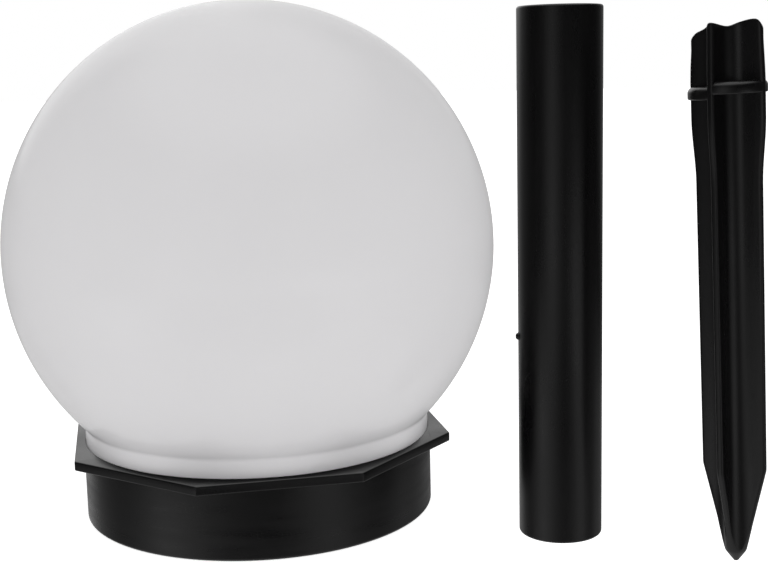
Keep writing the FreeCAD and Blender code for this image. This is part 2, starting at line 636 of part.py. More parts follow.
def make_reflector_tray():
    """The white inner cover: a flat rim with a cup for each lamp, and a pedestal with the solar panel's pocket."""
    pedestal = rod(PEDESTAL_RADIUS, FLANGE_TOP, PEDESTAL_TOP)
    pedestal = pedestal.makeFillet(PEDESTAL_FILLET, level_edges(pedestal, PEDESTAL_TOP))
    solids = [rod(TRAY_RADIUS, FLANGE_TOP, TRAY_TOP), pedestal]
    hole = LED_RADIUS + LED_CLEARANCE
    flange_hole = LED_FLANGE_RADIUS + LED_CLEARANCE
    for at in led_places():
        outer = hole + LED_CUP_ROOM + LED_CUP_WALL
        solids.append(rod(outer, FLANGE_TOP, TRAY_TOP + LED_CUP_HEIGHT, at.x, at.y))
    shape = fused(solids)
    side = PANEL_SIDE + 2 * PANEL_CLEARANCE
    cuts = [
        rod(PEDESTAL_RADIUS - PEDESTAL_WALL, FLANGE_TOP, PANEL_FLOOR - PEDESTAL_WALL),
        block(side, side, PANEL_FLOOR, PEDESTAL_TOP),
    ]
    for at in led_places():
        cuts.append(rod(hole, FLANGE_TOP, TRAY_TOP, at.x, at.y))
        cuts.append(rod(flange_hole, FLANGE_TOP, FLANGE_TOP + LED_FLANGE_HEIGHT + LED_CLEARANCE, at.x, at.y))
        cuts.append(rod(hole + LED_CUP_ROOM, TRAY_TOP, TRAY_TOP + LED_CUP_HEIGHT, at.x, at.y))
    for angle in around(BOSS_COUNT):
        at = polar(TRAY_SCREW_CIRCLE, angle)
        cuts.append(rod(TRAY_SCREW_RADIUS + SCREW_HOLE_CLEARANCE, FLANGE_TOP, TRAY_TOP, at.x, at.y))
    for side_x in (-1, 1):
        cuts.append(rod(LEAD_HOLE_RADIUS, PANEL_FLOOR - PEDESTAL_WALL, PANEL_FLOOR, side_x * PANEL_LEAD_X, PANEL_LEAD_Y))
    return shape.cut(cuts)


def make_panel_board():
    """The solar panel's backing board, in the pedestal's pocket."""
    return block(PANEL_SIDE, PANEL_SIDE, PANEL_FLOOR, PANEL_FLOOR + PANEL_BOARD_THICKNESS)


def make_solar_cells():
    """The cell strips, side by side on the board."""
    span = PANEL_SIDE - 2 * CELL_MARGIN
    pitch = (span + CELL_GAP) / CELL_COUNT
    low = PANEL_FLOOR + PANEL_BOARD_THICKNESS
    strips = []
    for i in range(CELL_COUNT):
        x = (i - (CELL_COUNT - 1) / 2) * pitch
        strips.append(block(pitch - CELL_GAP, span, low, low + CELL_THICKNESS, x, 0))
    return Part.makeCompound(strips)


def make_panel_lens():
    """The clear cover that lies on the cells, proud of the pocket by a hair."""
    side = PANEL_SIDE - 2 * PANEL_LENS_MARGIN
    low = PANEL_FLOOR + PANEL_BOARD_THICKNESS + CELL_THICKNESS
    lens = block(side, side, low, low + PANEL_LENS_THICKNESS)
    return lens.makeFillet(PANEL_LENS_THICKNESS / 4, level_edges(lens, low + PANEL_LENS_THICKNESS))


def make_led_board():
    """The ring board under the tray, which carries the lamps."""
    outer = LED_BOARD_INNER + LED_BOARD_WIDTH
    return ring(outer, LED_BOARD_INNER, FLANGE_TOP - LED_BOARD_THICKNESS, FLANGE_TOP)


def make_led(at):
    """One domed lamp with its foot flange."""
    foot = rod(LED_FLANGE_RADIUS, FLANGE_TOP, FLANGE_TOP + LED_FLANGE_HEIGHT, at.x, at.y)
    body = rod(LED_RADIUS, FLANGE_TOP, FLANGE_TOP + LED_BODY_HEIGHT, at.x, at.y)
    dome = Part.makeSphere(LED_RADIUS, V(at.x, at.y, FLANGE_TOP + LED_BODY_HEIGHT))
    return fused([foot, body, dome])


# ---- inner leads --------------------------------------------------------------------------------------------------
def make_lead(points):
    """A round lead along straight runs joined by tangent arcs."""
    edges = []
    start = points[0]
    for before, corner, after in zip(points, points[1:], points[2:]):
        back = before - corner
        ahead = after - corner
        trim = ARC_SHARE * min(back.Length, ahead.Length)
        back.normalize()
        ahead.normalize()
        turn = math.pi - back.getAngle(ahead)
        radius = trim / math.tan(turn / 2)
        inward = back + ahead
        inward.normalize()
        middle = corner + inward * (radius / math.cos(turn / 2) - radius)
        entry = corner + back * trim
        leave = corner + ahead * trim
        edges += [line(start, entry), Part.Arc(entry, middle, leave).toShape()]
        start = leave
    edges.append(line(start, points[-1]))
    section = Part.Wire(Part.makeCircle(LEAD_RADIUS, points[0], points[1] - points[0]))
    return Part.Wire(edges).makePipeShell([section], True, False)


def add_leads():
    """Three pairs of leads: panel to board, lamps to board, and battery to board. Black mirrors red across X."""
    panel_foot = V(5, BOARD_Y - 6, BOARD_TOP)
    panel_end = V(PANEL_LEAD_X, PANEL_LEAD_Y, PANEL_FLOOR)
    panel = [panel_foot, panel_foot + UP * 4, V(panel_end.x, panel_end.y, panel_end.z - 7), panel_end]
    lamp_foot = V(7, BOARD_Y + 5, BOARD_TOP)
    lamp_end = V(9.5, LED_CIRCLE * 0.93, FLANGE_TOP - LED_BOARD_THICKNESS)
    lamp = [lamp_foot, lamp_foot + UP * 4, lamp_end - UP * 3, lamp_end]
    pad = V(BOARD_LENGTH / 2 - 2.5, BOARD_Y - 6, BOARD_TOP)
    height = BAY_TOP + CONTACT_TAB_RISE / 2
    for name, side in (("red", 1), ("black", -1)):
        mirror = [V(side * p.x, p.y, p.z) for p in panel]
        add("panel_lead_" + name, make_lead(mirror))
        add("led_lead_" + name, make_lead([V(side * p.x, p.y, p.z) for p in lamp]))
        tab_x = BAY_PLUS_X if side > 0 else -BAY_MINUS_X
        battery = [
            V(tab_x, BAY_Y, height),
            V(tab_x + 4.5, BAY_Y, height),
            V(36, BAY_Y + 13, height - 5),
            V(32, pad.y - 15, BOARD_TOP + 3.5),
            V(pad.x + 6.5, pad.y - 1, BOARD_TOP + 6.0),
            V(pad.x, pad.y, BOARD_TOP + 4.0),
            pad,
        ]
        add("battery_lead_" + name, make_lead([V(side * p.x, p.y, p.z) for p in battery]))


# ---- pole tube and ground stake -----------------------------------------------------------------------------------
def tube_place():
    """The foot of the tube's axis, beside the globe."""
    return polar(GLOBE_RADIUS + GLOBE_TO_TUBE + TUBE_RADIUS, TUBE_DIRECTION)


def stake_place():
    """The stake's point, beyond the tube."""
    return tube_place() + polar(TUBE_RADIUS + TUBE_TO_STAKE + SHELF_RADIUS, STAKE_DIRECTION)


def make_pole_tube():
    """The plain tube, open at both ends, with the gate pip left on its side."""
    outer = rod(TUBE_RADIUS, 0, TUBE_LENGTH)
    outer = outer.makeFillet(TUBE_END_FILLET, level_edges(outer, 0) + level_edges(outer, TUBE_LENGTH))
    pip = Part.makeCone(PIP_RADIUS, PIP_RADIUS / 2, TUBE_WALL / 2 + PIP_PROUD, V(TUBE_RADIUS - TUBE_WALL / 2, 0, PIP_HEIGHT_UP),
                        V(1, 0, 0))
    pip.rotate(V(0, 0, 0), UP, PIP_DIRECTION)
    tube = outer.fuse(pip).cut(rod(TUBE_RADIUS - TUBE_WALL, 0, TUBE_LENGTH))
    tube.translate(tube_place())
    return tube


def stake_cross():
    """The cross of four fins with large concave roots, longer than the stake and wider than its plug."""
    half = STAKE_FIN_THICKNESS / 2
    root = half + STAKE_FIN_ROOT_FILLET
    reach = SHELF_RADIUS + 2
    bend = root - STAKE_FIN_ROOT_FILLET * math.sqrt(0.5)
    edges = []
    for turn in around(4):
        corner = [
            line(V(reach, -half, 0), V(reach, half, 0)),
            line(V(reach, half, 0), V(root, half, 0)),
            Part.Arc(V(root, half, 0), V(bend, bend, 0), V(half, root, 0)).toShape(),
            line(V(half, root, 0), V(half, reach, 0)),
        ]
        for edge in corner:
            edge.rotate(V(0, 0, 0), UP, turn)
        edges += corner
    return Part.Face(Part.Wire(Part.__sortEdges__(edges))).extrude(UP * STAKE_LENGTH)


def stake_envelope():
    """The turned outline that the fins are cut to: point, long taper, gusset under the shelf, and drafted plug."""
    gusset_top = SHELF_TOP - STAKE_GUSSET_TO_SHELF
    gusset_foot = gusset_top - STAKE_GUSSET_LENGTH
    gusset_middle = (gusset_foot + gusset_top) / 2
    bow = Part.BezierCurve()
    bow.setPoles([
        V(STAKE_BODY_RADIUS, 0, gusset_foot),
        V(STAKE_BODY_RADIUS, 0, gusset_middle),
        V(PLUG_RADIUS, 0, gusset_middle),
        V(PLUG_RADIUS, 0, gusset_top),
    ])
    up = [
        V(0, 0, 0),
        V(STAKE_TIP_RADIUS, 0, 0),
        V(STAKE_POINT_RADIUS, 0, STAKE_POINT_HEIGHT),
        V(STAKE_TAPER_RADIUS, 0, STAKE_TAPER_HEIGHT),
        V(STAKE_BODY_RADIUS, 0, gusset_foot),
    ]
    down = [
        V(PLUG_RADIUS, 0, gusset_top),
        V(PLUG_RADIUS, 0, SHELF_TOP),
        V(PLUG_RADIUS - PLUG_TOP_DRAFT, 0, STAKE_LENGTH),
        V(0, 0, STAKE_LENGTH),
        V(0, 0, 0),
    ]
    edges = [line(a, b) for a, b in zip(up, up[1:])] + [bow.toShape()]
    return turned(edges + [line(a, b) for a, b in zip(down, down[1:])])


def stake_shelves():
    """The stop shelf: a quarter plate between each pair of fins, half of them a step lower."""
    quarters = []
    for turn, drop in zip(around(4), (0, SHELF_STEP, SHELF_STEP, 0)):
        low = SHELF_TOP - SHELF_THICKNESS - drop
        quarter = Part.makeCylinder(SHELF_RADIUS, SHELF_THICKNESS, V(0, 0, low), UP, 90)
        quarter.rotate(V(0, 0, 0), UP, turn)
        quarters.append(quarter)
    return quarters


def stake_top_cutter():
    """What is cut off above the plug's uneven top, a wave that is low at one side and high at the other."""
    top = STAKE_LENGTH
    wave = [(-14, -7.2), (-10.8, -5.6), (-9.2, -4.4), (-6.6, -3.1), (-5.4, -2.0), (-4.2, -1.4), (-2.4, -1.5),
            (0.4, -2.1), (3.2, -1.5), (5.4, -0.4), (8.6, -0.1), (10.2, -0.9), (14, -4.0)]
    curve = Part.BSplineCurve()
    curve.interpolate([V(u, 0, top + drop) for u, drop in wave])
    first = V(wave[0][0], 0, top + wave[0][1])
    last = V(wave[-1][0], 0, top + wave[-1][1])
    lid = [V(last.x, 0, top + 1), V(first.x, 0, top + 1)]
    edges = [curve.toShape(), line(last, lid[0]), line(lid[0], lid[1]), line(lid[1], first)]
    cutter = Part.Face(Part.Wire(Part.__sortEdges__(edges))).extrude(V(0, 2 * last.x, 0))
    cutter.translate(V(0, -last.x, 0))
    cutter.rotate(V(0, 0, 0), UP, STAKE_VIEW_TURN)
    return cutter


def make_ground_stake():
    """The stake on its point: fins, shelf and plug in one moulding, leaning a little as it was laid out."""
    fins = stake_cross().common(stake_envelope())
    fins = fused([fins] + stake_shelves())
    fins.rotate(V(0, 0, 0), UP, STAKE_FIN_TURN)
    stake = fins.cut(stake_top_cutter())
    view = math.radians(STAKE_VIEW_TURN)
    stake.rotate(V(0, 0, 0), V(math.sin(view), -math.cos(view), 0), STAKE_LEAN)
    stake.translate(stake_place() + UP * (STAKE_TIP_RADIUS * math.sin(math.radians(STAKE_LEAN))))
    return stake


# ---- the whole kit --------------------------------------------------------------------------------------------
def make_all():
    """Make every piece under its own name."""
    add("globe", make_globe())
    add("base_housing", make_base_housing())
    add("neck_seal", make_neck_seal())
    add("reflector_tray", make_reflector_tray())
    add("panel_board", make_panel_board())
    add("solar_cells", make_solar_cells())
    add("panel_lens", make_panel_lens())
    add("led_board", make_led_board())
    for number, at in enumerate(led_places(), 1):
        add("led_" + str(number), make_led(at))
    add("control_board", make_control_board())
    add("driver_chip", make_driver_chip())
    add("inductor", make_inductor())
    add("switch_body", make_switch_body())
    add("switch_knob", make_switch_knob())
    add("bottom_plate", make_bottom_plate())
    add("battery", make_battery())
    add("positive_contact", make_positive_contact())
    add("negative_contact", make_negative_contact())
    add("battery_cover", make_battery_cover())
    add("cover_screw", make_cover_screw())
    add("base_screws", make_base_screws())
    add("tray_screws", make_tray_screws())
    add("board_screws", make_board_screws())
    add_leads()
    add("pole_tube", make_pole_tube())
    add("ground_stake", make_ground_stake())


make_all()
os.makedirs("parts", exist_ok=True)
for part_name, part_shape in PARTS.items():
    solids = len(part_shape.Solids)
    state = "valid" if part_shape.isValid() else "NOT VALID"
    print(f"{part_name:20s} {solids:2d} solids {part_shape.Volume:10.1f} mm3 {state}")
    part_shape.exportStep(os.path.join("parts", part_name + ".step"))
print("globe centre", round(GLOBE_CENTRE, 2), "top", round(GLOBE_CENTRE + GLOBE_RADIUS, 2))
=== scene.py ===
# %% [markdown]
# # A garden globe light, dressed round its CAD frame
# The imported CAD model gives every piece its real size and place, and this script gives the pieces their
# looks. It loads the frame first, and at the end it measures the bounds of the dressed pieces.

# %% Load the frame
import bmesh
import bpy
import math
from mathutils import Matrix, Vector


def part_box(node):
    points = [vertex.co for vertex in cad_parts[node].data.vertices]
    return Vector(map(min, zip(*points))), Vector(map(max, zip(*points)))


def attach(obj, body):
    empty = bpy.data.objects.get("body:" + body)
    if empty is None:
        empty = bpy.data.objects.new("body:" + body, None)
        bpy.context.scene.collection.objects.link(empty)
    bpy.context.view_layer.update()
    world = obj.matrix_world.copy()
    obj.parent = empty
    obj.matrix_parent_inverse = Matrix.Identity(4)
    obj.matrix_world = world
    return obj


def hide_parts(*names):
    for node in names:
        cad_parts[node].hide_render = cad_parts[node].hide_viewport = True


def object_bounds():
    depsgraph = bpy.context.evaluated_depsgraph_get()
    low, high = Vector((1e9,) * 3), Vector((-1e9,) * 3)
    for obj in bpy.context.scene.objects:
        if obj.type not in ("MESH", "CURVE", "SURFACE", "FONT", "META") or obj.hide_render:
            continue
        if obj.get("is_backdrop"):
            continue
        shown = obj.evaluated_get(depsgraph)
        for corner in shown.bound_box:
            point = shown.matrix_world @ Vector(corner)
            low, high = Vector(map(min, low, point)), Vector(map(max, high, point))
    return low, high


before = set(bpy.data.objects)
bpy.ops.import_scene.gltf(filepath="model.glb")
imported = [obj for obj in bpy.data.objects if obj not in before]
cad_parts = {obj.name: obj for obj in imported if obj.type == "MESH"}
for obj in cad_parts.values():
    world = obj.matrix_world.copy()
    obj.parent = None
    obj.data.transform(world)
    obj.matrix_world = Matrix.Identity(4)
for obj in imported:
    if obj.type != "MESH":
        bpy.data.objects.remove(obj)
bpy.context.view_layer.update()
MM = 0.001


def box_mm(node):
    """The low and high corners of a CAD node, in millimetres."""
    return [[v / MM for v in corner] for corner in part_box(node)]


# %% [markdown]
# ## The camera
# The lamp was photographed from close by, a little from above, and the camera was rolled slightly, so the
# base's right side sits higher in the picture. A camera is an eye point, a point that it looks at and a
# roll, and these three are written as such. The focal length comes from pixels: the picture is 768 wide, and
# so is the sensor.

# %% Camera
PICTURE_WIDTH = 768
FOCAL_PIXELS = 1309.7
SENSOR_MM = 36.0
LOOK_AT = Vector((40.89, 0.0, 69.9)) * MM
DISTANCE = 409 * MM
ELEVATION = math.radians(9.36)
ROLL = math.radians(-1.345)


def add_camera():
    """A camera that looks along +Y from slightly above, with a small roll."""
    data = bpy.data.cameras.new("camera")
    data.sensor_width = SENSOR_MM
    data.lens = FOCAL_PIXELS / PICTURE_WIDTH * SENSOR_MM
    data.clip_start = 10 * MM
    back = Vector((0, -math.cos(ELEVATION), math.sin(ELEVATION)))
    turn = (-back).to_track_quat("-Z", "Y").to_matrix().to_4x4() @ Matrix.Rotation(ROLL, 4, "Z")
    camera = bpy.data.objects.new("camera", data)
    camera.matrix_world = Matrix.Translation(LOOK_AT + back * DISTANCE) @ turn
    bpy.context.collection.objects.link(camera)
    bpy.context.scene.camera = camera
    return camera


camera = add_camera()
print("camera at", [round(v / MM, 1) for v in camera.location], "mm, lens", round(camera.data.lens, 1))

# %% [markdown]
# ## Helpers for node trees
# The surround, the materials and the Geometry Nodes are all trees of nodes, and all are built in the same
# way: add a node, then give each of its inputs a link or a plain value. So one short set of helpers serves
# every tree here.

# %% Node helpers
def feed(tree, socket, value):
    """Link an input to another socket, or set it to a plain value."""
    if isinstance(value, bpy.types.NodeSocket):
        tree.links.new(value, socket)
    else:
        socket.default_value = value


def add_node(tree, kind, *values, **inputs):
    """Add a node to a tree, and feed its first inputs in order and others by name."""
    node = tree.nodes.new(kind)
    for socket, value in zip(node.inputs, values):
        feed(tree, socket, value)
    for label, value in inputs.items():
        feed(tree, node.inputs[label.replace("_", " ")], value)
    return node


def math_of(tree, operation, *values):
    """The result of a Math node."""
    node = add_node(tree, "ShaderNodeMath", *values)
    node.operation = operation
    return node.outputs[0]


def spread(tree, value, low, high, from_low=0.3, from_high=0.7, curve="LINEAR"):
    """Map a value from one range to another."""
    ends = {"From_Min": from_low, "From_Max": from_high, "To_Min": low, "To_Max": high}
    node = add_node(tree, "ShaderNodeMapRange", Value=value, **ends)
    node.interpolation_type = curve
    return node.outputs[0]


def new_tree(name, kind, inputs, outputs):
    """A tree with named inputs and outputs, each given as its name and its kind of socket."""
    tree = bpy.data.node_groups.new(name, kind)
    for way, sockets in (("INPUT", inputs), ("OUTPUT", outputs)):
        for label, socket in sockets:
            tree.interface.new_socket(label, in_out=way, socket_type="NodeSocket" + socket)
    return tree, tree.nodes.new("NodeGroupInput").outputs, tree.nodes.new("NodeGroupOutput").inputs


def blank_material(name, **fixed):
    """A material with a Principled shader whose steady values are set on it, and its tree."""
    material = bpy.data.materials.new(name)
    material.use_nodes = True
    tree = material.node_tree
    for label, value in fixed.items():
        feed(tree, tree.nodes["Principled BSDF"].inputs[label.replace("_", " ")], value)
    return material, tree


print("node helpers ready")

# %% [markdown]
# ## Floor and light
# The photograph has a white ground and very even light, as in a light tent with two soft boxes beside the
# camera and a dark gap between them. Area lights could make the boxes, but they would mirror as hard
# rectangles in the globe. So the surround itself is the light: matt surfaces see it even, and glossy ones
# see the boxes as soft upright bands. The floor is a plain pale sheet with a little glow of its own, which
# leaves only a faint shadow at each foot. From below it is clear, so that the underside of the lamp can be
# looked at.

# %% Floor and light
FLOOR_SIZE = 12.0
FLOOR_DROP = 0.05 * MM
FLOOR_GLOW = 0.19
FLOOR_GLOW_SEEN = 0.75
EVEN_LIGHT = 1.0
OVERHEAD_LIGHT = 0.62
OVERHEAD_BOX = 1.5
GROUND_LIGHT = 0.6
# The ranges of the ray's height, from -1 straight down to 1 straight up, over which one part gives way to
# the next.
GROUND_FADE = (-0.75, -0.45)
LOW_FADE = (-0.28, -0.20)
MIDDLE_FADE = (-0.16, -0.05)
HIGH_FADE = (0.05, 0.13)
OVERHEAD_FADE = (0.62, 0.95)
# The mirrored surround at four heights of the ray, each as (degrees from the camera, positive to its right,
# strength). Seen level it has one lit band at the left, and lower down it has a second at the right and a
# paler back. Above the level only its back is brighter, which the flat top of the flange mirrors.
HIGH_BANDS = (
    (-180, 0.85), (-172, 1.15), (-150, 1.00), (-126, 0.30), (-93, 0.05), (-65, 0.03), (-52, 0.06),
    (-42, 0.20), (-28, 0.32), (-14, 0.16), (0, 0.06), (12, 0.04), (40, 0.04), (97, 0.03), (126, 0.10),
    (150, 0.40), (180, 0.85),
)
LEVEL_BANDS = (
    (-180, 0.38), (-150, 0.34), (-126, 0.15), (-93, 0.05), (-65, 0.03), (-52, 0.08), (-42, 0.34), (-28, 0.60),
    (-14, 0.30), (0, 0.09), (12, 0.05), (40, 0.05), (71, 0.04), (97, 0.03), (120, 0.06), (150, 0.22),
    (180, 0.38),
)
MIDDLE_BANDS = (
    (-180, 0.34), (-150, 0.32), (-126, 0.13), (-99, 0.07), (-65, 0.02), (-52, 0.06), (-40, 0.36), (-24, 0.74),
    (-12, 0.42), (4, 0.16), (18, 0.42), (33, 1.05), (46, 0.85), (62, 0.40), (80, 0.07), (97, 0.02),
    (125, 0.01), (150, 0.11), (180, 0.34),
)
LOW_BANDS = (
    (-180, 0.45), (-150, 0.50), (-119, 0.18), (-97, 0.12), (-78, 0.32), (-62, 0.85), (-45, 0.62), (-30, 0.30),
    (-15, 0.12), (0, 0.05), (20, 0.05), (30, 0.12), (41, 0.42), (56, 0.52), (72, 0.16), (90, 0.10),
    (112, 0.28), (128, 0.17), (155, 0.24), (180, 0.45),
)
bpy.context.scene.view_settings.view_transform = "Standard"


def add_floor():
    """A wide pale floor just under the pieces, clear from below."""
    bpy.ops.mesh.primitive_plane_add(size=FLOOR_SIZE, location=(0, 0, -FLOOR_DROP))
    floor = bpy.context.object
    floor.name = "floor"
    floor.visible_glossy = False
    material, tree = blank_material(
        "pale_floor", Base_Color=(0.85, 0.85, 0.85, 1), Roughness=0.9, Specular_IOR_Level=0.0,
        Emission_Color=(1, 1, 1, 1),
    )
    shader = tree.nodes["Principled BSDF"]
    seen = add_node(tree, "ShaderNodeLightPath").outputs["Is Camera Ray"]
    glow = spread(tree, seen, FLOOR_GLOW, FLOOR_GLOW_SEEN, 0.0, 1.0)
    feed(tree, shader.inputs["Emission Strength"], glow)
    below = add_node(tree, "ShaderNodeNewGeometry").outputs["Backfacing"]
    clear = add_node(tree, "ShaderNodeBsdfTransparent").outputs[0]
    both = add_node(tree, "ShaderNodeMixShader", below, shader.outputs[0], clear)
    feed(tree, tree.nodes["Material Output"].inputs["Surface"], both.outputs[0])
    floor.data.materials.append(material)
    floor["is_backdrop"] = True


def grey(strength):
    """A strength as a colour."""
    return (strength, strength, strength, 1)


def band_ramp(tree, around, bands):
    """A smooth ramp of strengths round the horizon."""
    ramp = add_node(tree, "ShaderNodeValToRGB", around)
    ramp.color_ramp.interpolation = "EASE"
    stops = ramp.color_ramp.elements
    stops[0].color, stops[-1].color = grey(bands[0][1]), grey(bands[-1][1])
    for degrees, strength in bands[1:-1]:
        stops.new((degrees + 180) / 360).color = grey(strength)
    return ramp.outputs[0]


def add_world():
    """An even surround for matt surfaces, soft bands for glossy ones, and plain white behind everything."""
    world = bpy.data.worlds.new("tent")
    world.use_nodes = True
    world.cycles.sampling_method = "NONE"
    tree = world.node_tree
    tree.nodes.clear()
    place = add_node(tree, "ShaderNodeTexCoord").outputs["Generated"]
    x, y, z = add_node(tree, "ShaderNodeSeparateXYZ", place).outputs
    azimuth = math_of(tree, "ARCTAN2", x, math_of(tree, "MULTIPLY", y, -1.0))
    around = spread(tree, azimuth, 0.0, 1.0, -math.pi, math.pi)

    def fade(heights, below, above):
        """One strength below a range of the ray's height, and another above it."""
        return spread(tree, z, below, above, *heights, "SMOOTHSTEP")

    bands = (HIGH_BANDS, LEVEL_BANDS, MIDDLE_BANDS, LOW_BANDS)
    high, level, middle, low = [band_ramp(tree, around, each) for each in bands]
    mirrored = fade(HIGH_FADE, level, high)
    mirrored = fade(MIDDLE_FADE, middle, mirrored)
    mirrored = fade(LOW_FADE, low, mirrored)
    mirrored = fade(GROUND_FADE, GROUND_LIGHT, mirrored)
    mirrored = fade(OVERHEAD_FADE, mirrored, OVERHEAD_BOX)
    even = fade((0.0, 1.0), EVEN_LIGHT, OVERHEAD_LIGHT)
    path = add_node(tree, "ShaderNodeLightPath").outputs
    lit = add_node(tree, "ShaderNodeMix", Factor=path["Is Glossy Ray"], A=even, B=mirrored).outputs["Result"]
    shown = add_node(tree, "ShaderNodeMix", Factor=path["Is Camera Ray"], A=lit, B=1.0).outputs["Result"]
    sky = add_node(tree, "ShaderNodeBackground", Color=(1, 1, 1, 1), Strength=shown)
    add_node(tree, "ShaderNodeOutputWorld", sky.outputs[0])
    bpy.context.scene.world = world


add_floor()
add_world()
print("floor and surround made:", len(bpy.context.scene.world.node_tree.nodes), "nodes in the surround")

# %% [markdown]
# ## Helpers for turned pieces
# Most of this lamp is turned: globe, tube, bosses and screws are a profile swept round an axis. A Screw
# modifier or a bmesh spin would do it once. Here one Geometry Nodes tree does it for all of them: the
# profile goes in as a line of edges, Curve to Mesh sweeps it round a circle, and the poles are merged shut.

# %% The turning tree
HUB = 1.0 * MM
POLE_MERGE = 0.002 * MM
GEOMETRY = ("Geometry", "Geometry")
MATERIAL = ("Material", "Material")


def new_geometry_tree(name, inputs):
    """An empty Geometry Nodes tree with a geometry going through, named inputs and a material."""
    return new_tree(name, "GeometryNodeTree", [GEOMETRY, *inputs, MATERIAL], [GEOMETRY])


def finish_tree(tree, given, result, geometry):
    """End a tree in Realize Instances and Set Material."""
    real = add_node(tree, "GeometryNodeRealizeInstances", geometry).outputs[0]
    paint = add_node(tree, "GeometryNodeSetMaterial", Geometry=real, Material=given["Material"])
    feed(tree, result[0], paint.outputs[0])
    return tree


def make_turning_tree():
    """Sweeps a profile round Z. Its X is the radius less HUB, and its Y is the height turned down."""
    tree, given, result = new_geometry_tree("turned_form", [("Steps", "Int")])
    profile = add_node(tree, "GeometryNodeMeshToCurve", Mesh=given["Geometry"])
    circle = add_node(tree, "GeometryNodeCurvePrimitiveCircle", Resolution=given["Steps"], Radius=HUB)
    sweep = add_node(
        tree, "GeometryNodeCurveToMesh", Curve=circle.outputs["Curve"], Profile_Curve=profile.outputs["Curve"]
    )
    merge = add_node(tree, "GeometryNodeMergeByDistance", sweep.outputs[0], Distance=POLE_MERGE)
    return finish_tree(tree, given, result, merge.outputs[0])


turning_tree = make_turning_tree()


def set_input(modifier, label, value):
    """Set one of a tree's inputs by its socket's identifier."""
    for item in modifier.node_group.interface.items_tree:
        if item.name == label and item.in_out == "INPUT":
            modifier[item.identifier] = value


def run_tree(tree, source_mesh, values):
    """Run a tree on a mesh and give back the result as a plain mesh."""
    source = bpy.data.objects.new("source", source_mesh)
    bpy.context.collection.objects.link(source)
    modifier = source.modifiers.new("nodes", "NODES")
    modifier.node_group = tree
    for label, value in values.items():
        set_input(modifier, label, value)
    mesh = bpy.data.meshes.new_from_object(source.evaluated_get(bpy.context.evaluated_depsgraph_get()))
    source.modifiers.remove(modifier)
    bpy.data.objects.remove(source)
    return mesh


def turned_mesh(outline, steps, material, closed=False):
    """The turned mesh of an outline of (radius, height) points in millimetres, from top to bottom."""
    profile = bpy.data.meshes.new("profile")
    points = [((r * MM) - HUB, -z * MM, 0) for r, z in outline]
    edges = [(i, i + 1) for i in range(len(points) - 1)]
    if closed:
        edges.append((len(points) - 1, 0))
    profile.from_pydata(points, edges, [])
    return run_tree(turning_tree, profile, {"Steps": steps, "Material": material})


print("turning tree has", len(turning_tree.nodes), "nodes")

# %% [markdown]
# ## Helpers for outlines and finished meshes
# A moulded edge is never sharp, so corners are rounded by a formula before they are swept: each corner gives
# way to a short arc. A finished mesh then has its doubles merged, its faces turned outwards, and its real
# edges kept crisp.

# %% Outline and mesh helpers
SHARP_ANGLE = math.radians(38)
DOUBLES = 0.001 * MM


def arc(centre, radius, start, end, steps):
    """Points on an arc about (radius, height), between two directions in degrees."""
    points = []
    for i in range(steps + 1):
        turn = math.radians(start + (end - start) * i / steps)
        points.append((centre[0] + radius * math.cos(turn), centre[1] + radius * math.sin(turn)))
    return points


def rounded(corners, radii, steps=4, closed=False):
    """An outline whose corners are rounded, each by its own radius."""
    count = len(corners)
    points = []
    for i, (corner, radius) in enumerate(zip(corners, radii)):
        if radius <= 0 or (not closed and i in (0, count - 1)):
            points.append(corner)
            continue
        here = Vector(corner)
        back = (Vector(corners[i - 1]) - here).normalized()
        ahead = (Vector(corners[(i + 1) % count]) - here).normalized()
        half = back.angle(ahead) / 2
        middle = here + (back + ahead).normalized() * (radius / math.sin(half))
        first = here + back * (radius / math.tan(half)) - middle
        last = here + ahead * (radius / math.tan(half)) - middle
        begin = math.degrees(math.atan2(first.y, first.x))
        sweep = (math.degrees(math.atan2(last.y, last.x)) - begin + 180) % 360 - 180
        points += arc(middle, radius, begin, begin + sweep, steps)
    return points


def tidy(mesh):
    """Merge doubles, turn the faces outwards, and shade smooth but for the real edges."""
    bm = bmesh.new()
    bm.from_mesh(mesh)
    bmesh.ops.remove_doubles(bm, verts=bm.verts, dist=DOUBLES)
    bmesh.ops.recalc_face_normals(bm, faces=bm.faces)
    for face in bm.faces:
        face.smooth = True
    for edge in bm.edges:
        edge.smooth = len(edge.link_faces) == 2 and edge.calc_face_angle(0) < SHARP_ANGLE
    bm.to_mesh(mesh)
    bm.free()
    return mesh


def mesh_of(bm, name):
    """End a bmesh as a new mesh."""
    mesh = bpy.data.meshes.new(name)
    bm.to_mesh(mesh)
    bm.free()
    return mesh


def rings_mesh(name, rings, cap_ends=False):
    """A mesh of quads between rings of as many points each. Without caps, the last ring joins the first."""
    bm = bmesh.new()
    rows = [[bm.verts.new(point) for point in ring] for ring in rings]
    count = len(rows[0])
    pairs = list(zip(rows, rows[1:]))
    if not cap_ends:
        pairs.append((rows[-1], rows[0]))
    for low, high in pairs:
        for i in range(count):
            bm.faces.new((low[i], low[(i + 1) % count], high[(i + 1) % count], high[i]))
    if cap_ends:
        bm.faces.new(rows[0])
        bm.faces.new(rows[-1])
    return mesh_of(bm, name)


def joined(name, meshes):
    """One mesh of several."""
    bm = bmesh.new()
    for mesh in meshes:
        bm.from_mesh(mesh)
    return mesh_of(bm, name)


def moved(mesh, matrix):
    """A mesh put in its place."""
    mesh.transform(matrix)
    return mesh


def polar(radius, degrees, height=0.0):
    """A point in millimetres at a radius and an angle about the lamp's axis."""
    turn = math.radians(degrees)
    return Vector((radius * math.cos(turn), radius * math.sin(turn), height))


